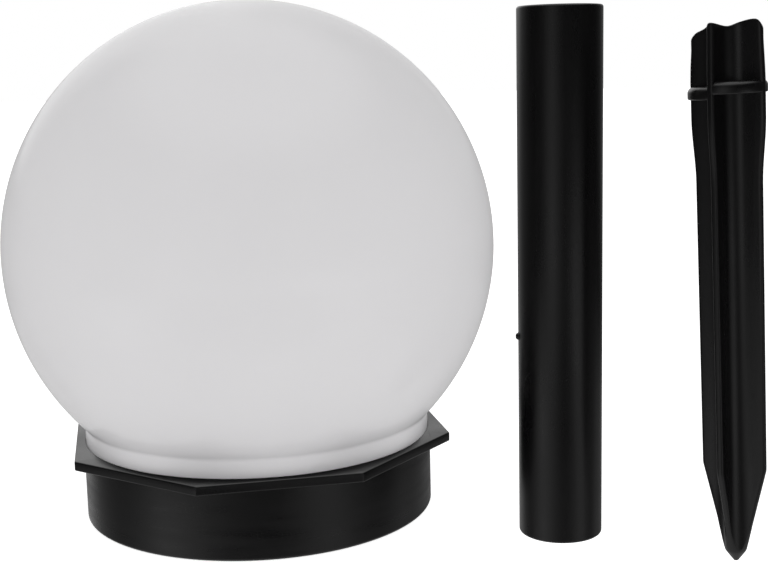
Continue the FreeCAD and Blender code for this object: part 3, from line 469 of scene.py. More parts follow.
def add_piece(name, mesh, body, material=None, replaces=()):
    """Link a finished mesh as a piece that rides on a body and stands for CAD nodes."""
    piece = bpy.data.objects.new(name, mesh)
    mesh.name = name
    if material is not None:
        mesh.materials.clear()
        mesh.materials.append(material)
    bpy.context.collection.objects.link(piece)
    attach(piece, body)
    if replaces:
        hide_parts(*replaces)
    size = [round(v / MM, 1) for v in piece.dimensions]
    print(name, "faces", len(mesh.polygons), "size mm", size)
    return piece


print("an eased corner has", len(rounded([(0, 1), (1, 1), (1, 0)], [0, 0.2, 0])) - 2, "points")

# %% [markdown]
# ## Shared surface effects
# Moulded plastic has a fine grain, and long soft streaks where the melt flowed. Things that were packed and
# handled have smudges and a few hair scratches. Black, white and metal pieces all show them, so these are
# two shader node groups with inputs for the sizes, which each material sets for itself. They put out only
# values that change.

# %% Moulded skin and handling groups
def new_shader_group(name, inputs, outputs):
    """A shader group on a Vector, with named inputs, and outputs that are plain values."""
    values = [(label, "Float") for label in outputs]
    return new_tree(name, "ShaderNodeTree", [("Vector", "Vector"), *inputs], values)


def stretched(group, given, label):
    """The group's vector, stretched by one of its inputs."""
    node = add_node(group, "ShaderNodeVectorMath", given["Vector"], given[label])
    node.operation = "MULTIPLY"
    return node.outputs[0]


def noise(group, place, scale, detail, roughness, distortion=0.0):
    """A fine or slow cloudy value, at a place and a scale."""
    fixed = {"Detail": detail, "Roughness": roughness, "Distortion": distortion}
    return add_node(group, "ShaderNodeTexNoise", Vector=place, Scale=scale, **fixed).outputs["Fac"]


def make_skin_group():
    """Grain and flow streaks: Grain is a fine height, and Flow is a slow value from 0 to 1."""
    inputs = (("Grain Scale", "Float"), ("Flow Stretch", "Vector"))
    group, given, result = new_shader_group("moulded_skin", inputs, ("Grain", "Flow"))
    streaks = stretched(group, given, "Flow Stretch")
    feed(group, result["Grain"], noise(group, given["Vector"], given["Grain Scale"], 3.0, 0.6))
    feed(group, result["Flow"], noise(group, streaks, 1.0, 4.0, 0.55, 0.4))
    return group


def make_handling_group():
    """Smudge is a slow cloudy value, and Scratch is 1 along a few fine lines and 0 elsewhere."""
    inputs = (("Smudge Scale", "Float"), ("Scratch Stretch", "Vector"))
    group, given, result = new_shader_group("handling", inputs, ("Smudge", "Scratch"))
    lines = noise(group, stretched(group, given, "Scratch Stretch"), 1.0, 2.0, 0.5)
    feed(group, result["Smudge"], noise(group, given["Vector"], given["Smudge Scale"], 5.0, 0.62, 0.8))
    feed(group, result["Scratch"], spread(group, lines, 0.0, 1.0, 0.70, 0.76))
    return group


skin_group = make_skin_group()
handling_group = make_handling_group()
print("shared groups:", skin_group.name, handling_group.name)

# %% [markdown]
# ## Materials
# Each material keeps its Principled shader and gets its changing values from the groups: flow streaks shift
# the colour a little, smudges shift the roughness, and the grain feeds a Bump node. What is the same all
# over, such as the coat or the index of refraction, is set on the shader itself.

# %% Material helpers
SMUDGE_ROUGHNESS = (-0.03, 0.05)


def object_place(tree):
    """Object coordinates, which stay on the piece when it moves."""
    return add_node(tree, "ShaderNodeTexCoord").outputs["Object"]


def blend_colours(tree, factor, dark, light):
    """Mix two colours by a value."""
    node = add_node(tree, "ShaderNodeMix", Factor=factor)
    node.data_type = "RGBA"
    first, second = [socket for socket in node.inputs if socket.type == "RGBA"]
    for socket, colour in ((first, dark), (second, light)):
        feed(tree, socket, colour if isinstance(colour, bpy.types.NodeSocket) else (*colour, 1))
    return [socket for socket in node.outputs if socket.type == "RGBA"][0]


def place_group(tree, group, **inputs):
    """Place a shader group in a material, on Object coordinates, and give back its outputs."""
    node = add_node(tree, "ShaderNodeGroup")
    node.node_tree = group
    for label, value in dict(inputs, Vector=object_place(tree)).items():
        feed(tree, node.inputs[label.replace("_", " ")], value)
    return node.outputs


def skin(tree, grain_per_mm, flow_per_mm):
    """The grain and the flow of a moulded skin."""
    stretch = [v / MM for v in flow_per_mm]
    found = place_group(tree, skin_group, Grain_Scale=grain_per_mm / MM, Flow_Stretch=stretch)
    return found["Grain"], found["Flow"]


def handling(tree, smudge_per_mm, scratch_per_mm):
    """The smudges and the hair scratches of handling."""
    stretch = [v / MM for v in scratch_per_mm]
    found = place_group(tree, handling_group, Smudge_Scale=smudge_per_mm / MM, Scratch_Stretch=stretch)
    return found["Smudge"], found["Scratch"]


def scuffed(tree, base, smudge, smudge_range, line, scratch):
    """A roughness with smudges added to it, and rougher along the scratches."""
    smudged = math_of(tree, "ADD", base, spread(tree, smudge, *smudge_range))
    return math_of(tree, "MULTIPLY_ADD", line, scratch, smudged)


def dress(material, colour, rough, height, depth, metal=None):
    """Feed the changing values to a material's shader. The depth of the bump is in mm."""
    tree = material.node_tree
    bump = add_node(tree, "ShaderNodeBump", Distance=depth * MM, Height=height)
    changing = {"Base Color": colour, "Roughness": rough, "Metallic": metal, "Normal": bump.outputs[0]}
    for label, value in changing.items():
        if value is not None:
            feed(tree, tree.nodes["Principled BSDF"].inputs[label], value)
    return material


def moulded(name, dark, light, rough, grain_per_mm, flow_per_mm, depth, scratch=0.06, **fixed):
    """A moulded plastic: two near colours, a range of roughness, a grain, smudges and hair scratches."""
    material, tree = blank_material(name, **fixed)
    grain, flow = skin(tree, grain_per_mm, flow_per_mm)
    smudge, line = handling(tree, 0.03, (0.9, 0.05, 0.35))
    colour = blend_colours(tree, flow, dark, light)
    roughness = scuffed(tree, spread(tree, flow, *rough), smudge, SMUDGE_ROUGHNESS, line, scratch)
    return dress(material, colour, roughness, grain, depth)


print("material helpers ready")

# %% [markdown]
# The globe is blown polyethylene: white right through, soft inside and glossy outside, with a slow waviness
# that bends what it mirrors. A clear coat carries the gloss, and some subsurface softens the body under it.
# The black pieces are one plastic, but the melt ran along the tube and the stake and round the base, so its
# streaks differ.

# %% Plastics
frosted_white = moulded(
    "frosted_white", (0.835, 0.823, 0.838), (0.865, 0.853, 0.868), (0.42, 0.52), 0.05, (0.02, 0.02, 0.012),
    depth=0.30, scratch=0.0, Coat_Weight=0.55, Coat_Roughness=0.10, Coat_IOR=1.45, Subsurface_Weight=0.3,
    Subsurface_Radius=(0.005, 0.005, 0.005), Subsurface_Scale=1.0, Specular_IOR_Level=0.1,
)
long_black = moulded(
    "long_black", (0.0010, 0.0009, 0.0011), (0.0032, 0.0029, 0.0032), (0.24, 0.34), 3.2, (0.16, 0.16, 0.012),
    depth=0.018, Specular_IOR_Level=0.45,
)
base_black = moulded(
    "base_black", (0.0009, 0.0008, 0.0010), (0.0036, 0.0033, 0.0036), (0.24, 0.36), 2.6, (0.022, 0.022, 0.32),
    depth=0.022, Specular_IOR_Level=0.45,
)
tray_white = moulded(
    "tray_white", (0.80, 0.80, 0.79), (0.86, 0.86, 0.85), (0.22, 0.34), 3.0, (0.05, 0.05, 0.05), 0.01,
    Specular_IOR_Level=0.5,
)
seal_black = moulded(
    "seal_black", (0.012, 0.012, 0.012), (0.03, 0.03, 0.03), (0.6, 0.8), 5.0, (0.1, 0.1, 0.1), 0.03,
)
print("plastics made:", [m.name for m in (frosted_white, long_black, base_black, tray_white, seal_black)])

# %% [markdown]
# ## The globe
# The globe follows a rule: a ball whose wall turns through a soft fillet into a short straight neck. The
# outline is worked out from four sizes, outside and inside, and swept by the turning tree. The wall is real,
# so the neck has a lip to see when the globe is lifted off.

# %% Globe
GLOBE_RADIUS = 75.0
GLOBE_WALL = 2.0
NECK_RADIUS = 53.6
NECK_FILLET = 2.0
NECK_FOOT = box_mm("globe")[0][2]
GLOBE_CENTRE = box_mm("globe")[1][2] - GLOBE_RADIUS
FILLET_R = NECK_RADIUS + NECK_FILLET
FILLET_Z = GLOBE_CENTRE - math.sqrt((GLOBE_RADIUS + NECK_FILLET) ** 2 - FILLET_R**2)
LIP_EASE = 0.35
BALL_STEPS = 84
ROUND_STEPS = 192


def globe_side(ball, fillet):
    """The outline from the crown down to the neck's foot."""
    lean = math.degrees(math.atan2(GLOBE_CENTRE - FILLET_Z, FILLET_R))
    points = arc((0, GLOBE_CENTRE), ball, 90, -lean, BALL_STEPS)
    return points + arc((FILLET_R, FILLET_Z), fillet, 180 - lean, 180, 8)[1:]


def make_globe():
    """The blown globe with its neck."""
    outside = globe_side(GLOBE_RADIUS, NECK_FILLET)
    inside = globe_side(GLOBE_RADIUS - GLOBE_WALL, NECK_FILLET + GLOBE_WALL)
    lip = rounded(
        [outside[-1], (NECK_RADIUS, NECK_FOOT), (NECK_RADIUS - GLOBE_WALL, NECK_FOOT), inside[-1]],
        [0, LIP_EASE, LIP_EASE, 0],
    )
    outline = outside + lip[1:-1] + inside[::-1]
    mesh = tidy(turned_mesh(outline, ROUND_STEPS, frosted_white))
    return add_piece("globe_shell", mesh, "globe", replaces=["globe"])


globe_piece = make_globe()
globe_piece.visible_glossy = False

# %% [markdown]
# ## The base housing
# The base is round below and eight-sided at its flange, so a plain sweep won't do. Every ring of the mesh
# has its points at the same angles, and only the rule for the radius changes: a constant for the round
# skirt, and the distance to an octagon's side for the flange. The angles stand close together round each
# corner, which keeps its small rounding.

# %% Base housing rings
SKIRT_RADIUS = 54.3
SKIRT_INNER = 50.7
RIM_EASE = 1.0
FLANGE_FOOT = 21.3
FLANGE_TOP = 24.1
FLANGE_CORNER = 61.2
HALF_CORNER = math.radians(22.5)
FLANGE_FLAT = FLANGE_CORNER * math.cos(HALF_CORNER)
FLANGE_TURN = 33.8
FLANGE_EDGE = 0.4
CORNER_ROUND = 0.8
SPIGOT_OUTER = 51.3
SPIGOT_INNER = 48.3
SPIGOT_TOP = box_mm("base_housing")[1][2]
SPIGOT_LEAD_IN = 0.6
GROOVE_GAP = 0.2
GROOVE_OUTER = NECK_RADIUS + GROOVE_GAP
SEAL_HEIGHT = sum(corner[2] for corner in box_mm("neck_seal")) / 2
SEAL_GROOVE_HALF = 1.1
SEAL_GROOVE_INNER = 49.55
DECK_INNER = 45.5
LEDGE_WIDTH = 1.3
LEDGE_INNER = SKIRT_INNER - LEDGE_WIDTH
INNER_EASE = 0.2
PLATE_TOP = 4.0
LEDGE_TOP = 6.0
STEPS_PER_SIDE = 30
CORNER_STEPS = 3


def octagon_radius(degrees, inset):
    """The distance from the axis to the octagon's side, less an inset across it, with its corners rounded."""
    flat = FLANGE_FLAT - inset
    off = (degrees - FLANGE_TURN + 22.5) % 45 - 22.5
    centre = (flat - CORNER_ROUND) / math.cos(HALF_CORNER)
    if abs(off) < corner_reach():
        turn = math.radians(off)
        return centre * math.cos(turn) + math.sqrt(CORNER_ROUND**2 - (centre * math.sin(turn)) ** 2)
    return flat / math.cos(math.radians(22.5 - abs(off)))


def corner_reach():
    """How far from a corner its rounding starts, in degrees about the axis."""
    centre = (FLANGE_FLAT - CORNER_ROUND) / math.cos(HALF_CORNER)
    out, aside = CORNER_ROUND * math.cos(HALF_CORNER), CORNER_ROUND * math.sin(HALF_CORNER)
    return math.degrees(math.atan2(aside, centre + out))


def ring_turns():
    """The angles of a ring's points: close together round each corner, and even along each side."""
    reach = corner_reach()
    shares = [reach * k / CORNER_STEPS for k in range(-CORNER_STEPS, CORNER_STEPS + 1)]
    sides = [45 * k / STEPS_PER_SIDE for k in range(1, STEPS_PER_SIDE)]
    return [FLANGE_TURN + 45 * k + share for k in range(8) for share in shares + sides]


def housing_ring(radius, height, inset=None):
    """One ring of the housing: round, or octagonal where an inset is given."""
    points = []
    for degrees in ring_turns():
        r = radius if inset is None else octagon_radius(degrees, inset)
        points.append(polar(r, degrees, height) * MM)
    return points


def flange_rings():
    """The flange's edge, rounded at its foot and its top."""
    rings = []
    for height, first, last in ((FLANGE_FOOT + FLANGE_EDGE, -90, 0), (FLANGE_TOP - FLANGE_EDGE, 0, 90)):
        for degrees in range(first, last + 1, 18):
            turn = math.radians(degrees)
            inset = FLANGE_EDGE * (1 - math.cos(turn))
            rings.append(housing_ring(0, height + FLANGE_EDGE * math.sin(turn), inset))
    return rings


def housing_inside():
    """The outline from the neck's groove over the spigot and its seal groove, and down inside the skirt."""
    seal_low, seal_high = SEAL_HEIGHT - SEAL_GROOVE_HALF, SEAL_HEIGHT + SEAL_GROOVE_HALF
    corners = [
        (GROOVE_OUTER, FLANGE_TOP), (GROOVE_OUTER, NECK_FOOT), (SPIGOT_OUTER, NECK_FOOT),
        (SPIGOT_OUTER, seal_low), (SEAL_GROOVE_INNER, seal_low), (SEAL_GROOVE_INNER, seal_high),
        (SPIGOT_OUTER, seal_high), (SPIGOT_OUTER, SPIGOT_TOP - SPIGOT_LEAD_IN),
        (SPIGOT_OUTER - SPIGOT_LEAD_IN, SPIGOT_TOP), (SPIGOT_INNER, SPIGOT_TOP), (SPIGOT_INNER, FLANGE_TOP),
        (DECK_INNER, FLANGE_TOP), (DECK_INNER, FLANGE_FOOT), (SKIRT_INNER, FLANGE_FOOT),
        (SKIRT_INNER, LEDGE_TOP), (LEDGE_INNER, LEDGE_TOP), (LEDGE_INNER, PLATE_TOP),
        (SKIRT_INNER, PLATE_TOP),
    ]
    return rounded(corners, [0] + [INNER_EASE] * (len(corners) - 1))


print("octagon across flats", round(2 * FLANGE_FLAT, 1), "mm, a ring has", len(ring_turns()), "points")

# %% [markdown]
# The bosses are plain posts under the deck. Each takes a base screw from below, and a tray screw from above,
# a little nearer to the lamp's axis. They could be part of the rings, but it is simpler to join turned posts
# to the rings' mesh, as a mould maker also adds them last.

# %% Base housing
BOSS_COUNT = 4
BOSS_CIRCLE = 47.5
BOSS_RADIUS = 3.5
BOSS_STEPS = 32
DECK_SKIN = 0.3
SQUARE = [360 * k / BOSS_COUNT for k in range(BOSS_COUNT)]


def boss(degrees):
    """An upright post with closed ends."""
    low, high = PLATE_TOP, FLANGE_TOP - DECK_SKIN
    outline = [(0, high), (BOSS_RADIUS, high), (BOSS_RADIUS, low), (0, low)]
    place = Matrix.Translation(polar(BOSS_CIRCLE, degrees) * MM)
    return moved(turned_mesh(outline, BOSS_STEPS, base_black), place)


def make_housing():
    """Skirt, flange, neck groove, spigot with its seal groove, and deck, as one closed ring of a mesh."""
    corners = [(SKIRT_INNER, 0.0), (SKIRT_RADIUS, 0.0), (SKIRT_RADIUS, FLANGE_FOOT)]
    skirt = rounded(corners, [0, RIM_EASE, 0], 6)
    rings = [housing_ring(r, z) for r, z in skirt] + flange_rings()
    rings += [housing_ring(r, z) for r, z in housing_inside()]
    parts = [rings_mesh("housing", rings)] + [boss(degrees) for degrees in SQUARE]
    mesh = tidy(joined("housing", parts))
    return add_piece("base_shell", mesh, "lamp_base", base_black, ["base_housing"])


make_housing()

# %% [markdown]
# ## The pole tube
# A plain tube is the simplest turned piece, but its ends are eased, its wall is real, and a small gate pip
# is left on its side where it came off the mould. The pip is a little cone with a rounded top, sunk into the
# wall.

# %% Pole tube
TUBE_RADIUS = 12.0
TUBE_WALL = 1.0
TUBE_EASE = 0.75
BORE_EASE = 0.2
PIP_HEIGHT = 58.6
PIP_RADIUS = 1.3
PIP_PROUD = 0.8
PIP_FOOT = -0.1
PIP_SUNK = -0.6
PIP_EASE = 0.35
PIP_STEPS = 24
TUBE_STEPS = 128
PIP_DIRECTION = math.radians(182)
tube_low, tube_high = box_mm("pole_tube")
TUBE_LENGTH = tube_high[2]
TUBE_FOOT = Vector((tube_high[0] - TUBE_RADIUS, (tube_low[1] + tube_high[1]) / 2, 0))


def make_tube():
    """The tube with its gate pip."""
    bore = TUBE_RADIUS - TUBE_WALL
    corners = [(TUBE_RADIUS, TUBE_LENGTH), (TUBE_RADIUS, 0), (bore, 0), (bore, TUBE_LENGTH)]
    eases = [TUBE_EASE, TUBE_EASE, BORE_EASE, BORE_EASE]
    wall = turned_mesh(rounded(corners, eases, 6, closed=True), TUBE_STEPS, long_black, closed=True)
    cone = [(0, PIP_PROUD), (PIP_RADIUS / 2, PIP_PROUD), (PIP_RADIUS, PIP_FOOT), (PIP_RADIUS, PIP_SUNK)]
    cone.append((0, PIP_SUNK))
    pip = turned_mesh(rounded(cone, [0, PIP_EASE, 0, 0, 0]), PIP_STEPS, long_black)
    lay = Matrix.Rotation(PIP_DIRECTION, 4, "Z") @ Matrix.Translation((TUBE_RADIUS * MM, 0, PIP_HEIGHT * MM))
    moved(pip, lay @ Matrix.Rotation(math.radians(90), 4, "Y"))
    mesh = tidy(moved(joined("tube", [wall, pip]), Matrix.Translation(TUBE_FOOT * MM)))
    return add_piece("tube_shell", mesh, "pole", long_black, ["pole_tube"])


make_tube().visible_diffuse = False

# %% [markdown]
# ## The ground stake
# The stake's section is a cross whose four fins meet in large hollow roots, and its outline is a long taper
# with a blunt point. Both are rules: at each height the section's radius is the smaller of the cross and the
# outline, so a stack of rings gives fins that run out into the point by themselves.

# %% Stake sections
FIN_HALF = 0.9
FIN_ROOT = 4.2
FIN_EDGE = 0.35
STAKE_LENGTH = 145.7
PLUG_RADIUS = 10.3
PLUG_DRAFT = 0.5
PLUG_EASE = 0.35
SHELF_TOP = 130.4
# The stake's outline below the gusset, as (height, radius).
OUTLINE = ((0.0, 0.6), (0.7, 1.15), (3.0, 2.85), (26.7, 9.05), (104.0, 9.25))
GUSSET_FOOT = 104.0
GUSSET_TOP = 121.0
TIP_STEPS = 5
SIDE_STEPS = 14
# Below this radius the fins' edges aren't rounded, and no radius is less than the second value.
POINT_RADIUS = 4.0
LEAST_RADIUS = 0.02


def cross_radius(turn):
    """The cross's radius in a direction from 0, along a fin, to 45 degrees, midway between two."""
    centre = FIN_HALF + FIN_ROOT
    if turn <= math.atan2(FIN_HALF, centre):
        return math.inf if turn <= 0 else FIN_HALF / math.sin(turn)
    reach = centre * (math.cos(turn) + math.sin(turn))
    return reach - math.sqrt(max(reach**2 - 2 * centre**2 + FIN_ROOT**2, 0))


def outline_radius(height):
    """The stake's outline: point, taper, gusset under the shelf, and plug with a little draft."""
    if height > SHELF_TOP:
        return PLUG_RADIUS - PLUG_DRAFT * (height - SHELF_TOP) / (STAKE_LENGTH - SHELF_TOP)
    if height > GUSSET_TOP:
        return PLUG_RADIUS
    if height > GUSSET_FOOT:
        share = (height - GUSSET_FOOT) / (GUSSET_TOP - GUSSET_FOOT)
        return OUTLINE[-1][1] + (PLUG_RADIUS - OUTLINE[-1][1]) * share * share * (3 - 2 * share)
    for (z0, r0), (z1, r1) in zip(OUTLINE, OUTLINE[1:]):
        if height <= z1:
            return r0 + (r1 - r0) * (height - z0) / (z1 - z0)


def meeting_turn(radius):
    """The direction where the cross is as far out as the outline."""
    low, high = 0.0, math.radians(45)
    if cross_radius(high) >= radius:
        return high
    for _ in range(40):
        middle = (low + high) / 2
        if cross_radius(middle) > radius:
            low = middle
        else:
            high = middle
    return high


def section(radius, shrink=0.0):
    """The points of one section, as (x, y), for an outline radius. A fin's edge is slightly rounded."""
    meet = meeting_turn(radius)
    half = [(0.0, radius)]
    for i in range(1, TIP_STEPS + 1):
        turn = meet * i / TIP_STEPS
        ease = FIN_EDGE * (i / TIP_STEPS) ** 4 if radius > POINT_RADIUS else 0.0
        half.append((turn, radius - ease))
    for i in range(1, SIDE_STEPS + 1):
        turn = meet + (math.radians(45) - meet) * (i / SIDE_STEPS) ** 1.6
        half.append((turn, min(cross_radius(turn), radius)))
    quarter = half + [(math.radians(90) - turn, r) for turn, r in reversed(half[1:-1])]
    points = []
    for k in range(4):
        for turn, r in quarter:
            along, out = turn + k * math.pi / 2, max(r - shrink, LEAST_RADIUS)
            points.append((out * math.cos(along), out * math.sin(along)))
    return points


print("stake section has", len(section(9.5)), "points")

# %% [markdown]
# The plug's top isn't level: it was left with a wave, low at the left and high at the right, seen from the
# front. The wave is a short list of heights across the stake, joined by a smooth curve, and the top rings
# follow it. The stop shelf is a quarter plate with a rounded rim between each pair of fins, two of them a
# step lower.

# %% Ground stake
WAVE = (
    (-12.0, -8.0), (-9.4, -4.4), (-7.8, -2.6), (-6.0, -1.85), (-5.0, -1.2), (-4.2, -0.45), (-3.0, -0.55),
    (0.2, -1.35), (3.2, -0.55), (6.0, 0.0), (7.8, -0.25), (9.0, -1.9), (12.0, -7.0),
)
FIN_TURN = math.radians(49.9)
VIEW_TURN = math.radians(-15.5)
STAKE_LEAN = math.radians(2.1)
SHELF_RADIUS = 10.2
SHELF_THICKNESS = 3.3
SHELF_EASE = 1.6
SHELF_FOOT_EASE = 0.5
SHELF_DROPS = (1.2, 1.2, 0.0, 0.0)
SHELF_STEPS = 24
RING_HEIGHTS = (
    [0.0, 0.15, 1.0, 2.0, 2.8, 3.2, 4.2] + [6 + 3.1 * i for i in range(7)]
    + [25.9, 26.5, 27.2, 29.0, 40.0, 60.0, 80.0, 96.0, 102.0]
    + [GUSSET_FOOT + (GUSSET_TOP - GUSSET_FOOT) * i / 10 for i in range(11)] + [125.0, SHELF_TOP, 134.0]
)
# The rings at the plug's top, as (drop below the wave, how far they are drawn in, share of the section).
PLUG_SIDE = [(3.0, 0.0, 1.0), (1.2, 0.0, 1.0), (0.45, 0.0, 1.0), (0.15, 0.1, 1.0), (0.0, PLUG_EASE, 1.0)]
PLUG_CLOSING = [(0.0, PLUG_EASE, 1 - 0.1 * i) for i in range(1, 10)] + [(0.0, PLUG_EASE, 0.02)]
TUBE_TO_STAKE = 52.1
STAKE_DIRECTION = -30.9


def wave_slope(k):
    """The wave's slope at one of its listed points, from the points on both sides of it."""
    before, after = WAVE[max(k - 1, 0)], WAVE[min(k + 1, len(WAVE) - 1)]
    return (after[1] - before[1]) / (after[0] - before[0])


def wave_height(x, y):
    """How far the plug's top lies below the stake's length at a point of the section."""
    spin = FIN_TURN - VIEW_TURN
    across = x * math.cos(spin) - y * math.sin(spin)
    across = min(max(across, WAVE[0][0]), WAVE[-1][0])
    for k, ((u0, h0), (u1, h1)) in enumerate(zip(WAVE, WAVE[1:])):
        if across <= u1:
            share = (across - u0) / (u1 - u0)
            leave, arrive = (wave_slope(i) * (u1 - u0) for i in (k, k + 1))
            smooth = share * share * (3 - 2 * share)
            bend = share * (1 - share) * (leave * (1 - share) - arrive * share)
            return h0 + (h1 - h0) * smooth + bend


def stake_rings():
    """Level rings up to the plug, then rings that follow the wave, and smaller ones that close the top."""
    rings = []
    for height in RING_HEIGHTS:
        rings.append([Vector((x, y, height)) * MM for x, y in section(outline_radius(height))])
    plug = outline_radius(STAKE_LENGTH - 2)
    for drop, shrink, share in PLUG_SIDE + PLUG_CLOSING:
        points = [(x * share, y * share) for x, y in section(plug, shrink)]
        rings.append([Vector((x, y, STAKE_LENGTH + wave_height(x, y) - drop)) * MM for x, y in points])
    return rings


def shelf_quarter(turn, low):
    """A quarter plate with a rounded rim, between two fins."""
    high = low + SHELF_THICKNESS
    corners = [(0, low), (SHELF_RADIUS, low), (SHELF_RADIUS, high), (0, high)]
    rim = rounded(corners, [0, SHELF_FOOT_EASE, SHELF_EASE, 0], 6)
    bm = bmesh.new()
    columns = []
    for i in range(SHELF_STEPS + 1):
        degrees = turn + 90 * i / SHELF_STEPS
        columns.append([bm.verts.new(polar(r, degrees, z) * MM) for r, z in rim])
    for left, right in zip(columns, columns[1:]):
        for k in range(len(rim) - 1):
            bm.faces.new((left[k], right[k], right[k + 1], left[k + 1]))
    bm.faces.new(columns[0])
    bm.faces.new(columns[-1])
    return mesh_of(bm, "shelf")


def make_stake():
    """The stake, leaning a little as it was laid out."""
    parts = [rings_mesh("stake", stake_rings(), cap_ends=True)]
    for k, drop in enumerate(SHELF_DROPS):
        parts.append(shelf_quarter(90 * k, SHELF_TOP - SHELF_THICKNESS - drop))
    axis = Vector((math.sin(VIEW_TURN), -math.cos(VIEW_TURN), 0))
    foot = TUBE_FOOT + polar(TUBE_TO_STAKE, STAKE_DIRECTION)
    foot.z = OUTLINE[0][1] * math.sin(STAKE_LEAN)
    lean = Matrix.Rotation(STAKE_LEAN, 4, axis) @ Matrix.Rotation(FIN_TURN, 4, "Z")
    mesh = tidy(moved(joined("stake", parts), Matrix.Translation(foot * MM) @ lean))
    return add_piece("stake_body", mesh, "stake", long_black, ["ground_stake"])


make_stake().visible_diffuse = False

# %% [markdown]
# ## Metals and small electrical finishes
# Inside the lamp are zinc-plated screws, nickel contacts, a green board, a sleeved cell and clear epoxy
# lamps. The metals share one recipe with different colours and brush lines. Where one solid holds two
# finishes, such as the cell's green sleeve and steel ends, a mask on Object coordinates parts them, so the
# CAD mesh can stay as it is.

# %% Metals
def plated(name, dark, light, rough, brush_per_mm, depth):
    """A plated metal: brush lines one way, a slow tarnish, and smudges in its roughness."""
    material, tree = blank_material(name, Metallic=1.0)
    brush, tarnish = skin(tree, 0.8, brush_per_mm)
    smudge, line = handling(tree, 0.12, (1.4, 0.2, 0.6))
    colour = blend_colours(tree, brush, dark, light)
    roughness = scuffed(tree, spread(tree, tarnish, *rough), smudge, (-0.04, 0.08), line, 0.15)
    return dress(material, colour, roughness, tarnish, depth)


zinc = plated("zinc", (0.44, 0.44, 0.43), (0.68, 0.68, 0.65), (0.22, 0.40), (6.0, 6.0, 0.6), 0.010)
nickel = plated("nickel", (0.58, 0.55, 0.50), (0.76, 0.73, 0.67), (0.18, 0.34), (0.4, 9.0, 9.0), 0.008)
silver_paste = plated("silver_paste", (0.60, 0.60, 0.62), (0.80, 0.80, 0.82), (0.35, 0.55), [8.0] * 3, 0.004)
tinned = plated("tinned", (0.45, 0.45, 0.46), (0.62, 0.62, 0.62), (0.30, 0.48), (3.0, 0.4, 3.0), 0.010)
print("metals made:", [m.name for m in (zinc, nickel, silver_paste, tinned)])

# %% Masks and the board tracks group
MASK_SOFT = 0.05


def outside(tree, axis, low, high):
    """A mask that is 0 between two places along an axis, in millimetres, and 1 beyond them."""
    place = add_node(tree, "ShaderNodeSeparateXYZ", object_place(tree)).outputs[axis]
    away = math_of(tree, "SUBTRACT", math_of(tree, "MULTIPLY", place, 1 / MM), (low + high) / 2)
    half = (high - low) / 2
    return spread(tree, math_of(tree, "ABSOLUTE", away), 0.0, 1.0, half, half + MASK_SOFT)


def make_track_group():
    """Copper tracks under a mask: 1 along the joints of a brick pattern, and 0 between them."""
    group, given, result = new_shader_group("board_tracks", [("Track Stretch", "Vector")], ("Track",))
    bricks = add_node(
        group, "ShaderNodeTexBrick", Vector=stretched(group, given, "Track Stretch"), Scale=1.0,
        Mortar_Size=0.09, Mortar_Smooth=0.15, Brick_Width=1.0, Row_Height=0.5,
    )
    bricks.offset = 0.37
    bricks.squash = 0.6
    feed(group, result["Track"], bricks.outputs["Fac"])
    return group


track_group = make_track_group()


def masked_board(name, bare, tracked, tracks_per_mm):
    """A board under solder mask: its tracks show lighter and stand a hair proud."""
    material, tree = blank_material(name, Coat_Weight=0.6, Coat_Roughness=0.12)
    track = place_group(tree, track_group, Track_Stretch=[tracks_per_mm / MM] * 3)["Track"]
    grain, flow = skin(tree, 4.0, (0.2, 0.2, 0.2))
    plain = blend_colours(tree, flow, [0.8 * v for v in bare], bare)
    colour = blend_colours(tree, track, plain, tracked)
    return dress(material, colour, spread(tree, grain, 0.28, 0.42), track, 0.03)


print("track group has", len(track_group.nodes), "nodes")

# %% Electrical finishes
# Places in millimetres, in from the ends of each piece.
PALE_BAND = (16.0, 12.5)
BARE_ENDS = (0.9, 2.2)
DRUM_FLANGE = 0.82
CHIP_LEGS = 1.02
CHIP_DIMPLE = (1.1, 2.0)
DIMPLE_EDGE = (0.35, 0.42)


def sleeved_cell():
    """A cell in a green shrink sleeve with one pale band, and bare steel ends."""
    material, tree = blank_material("sleeved_cell", Coat_Weight=0.5, Coat_Roughness=0.1)
    low, high = (corner[0] for corner in box_mm("battery"))
    grain, flow = skin(tree, 3.0, (0.5, 0.05, 0.05))
    smudge = handling(tree, 0.08, (0.05, 1.2, 1.2))[0]
    band = outside(tree, 0, high - PALE_BAND[0], high - PALE_BAND[1])
    ends = outside(tree, 0, low + BARE_ENDS[0], high - BARE_ENDS[1])
    green = blend_colours(tree, flow, (0.020, 0.130, 0.045), (0.030, 0.170, 0.060))
    banded = blend_colours(tree, band, (0.62, 0.64, 0.60), green)
    colour = blend_colours(tree, ends, banded, (0.60, 0.58, 0.54))
    return dress(material, colour, spread(tree, smudge, 0.22, 0.38), grain, 0.015, metal=ends)


def wound_ferrite():
    """A ferrite drum whose waist is wound with enamelled copper."""
    material, tree = blank_material("wound_ferrite")
    low, high = (corner[2] for corner in box_mm("inductor"))
    flanges = outside(tree, 2, low + DRUM_FLANGE, high - DRUM_FLANGE)
    place = object_place(tree)
    turns = add_node(tree, "ShaderNodeTexWave", Vector=place, Scale=1.1 / MM, Distortion=0.3, Detail=1.0)
    turns.bands_direction = "Z"
    grain, flow = skin(tree, 6.0, (0.6, 0.6, 0.6))
    copper = blend_colours(tree, turns.outputs["Fac"], (0.20, 0.06, 0.02), (0.62, 0.24, 0.09))
    stone = blend_colours(tree, flow, (0.045, 0.045, 0.05), (0.09, 0.09, 0.10))
    colour = blend_colours(tree, flanges, copper, stone)
    metal = spread(tree, flanges, 0.85, 0.0, 0.0, 1.0)
    return dress(material, colour, spread(tree, grain, 0.38, 0.62), turns.outputs["Fac"], 0.04, metal)


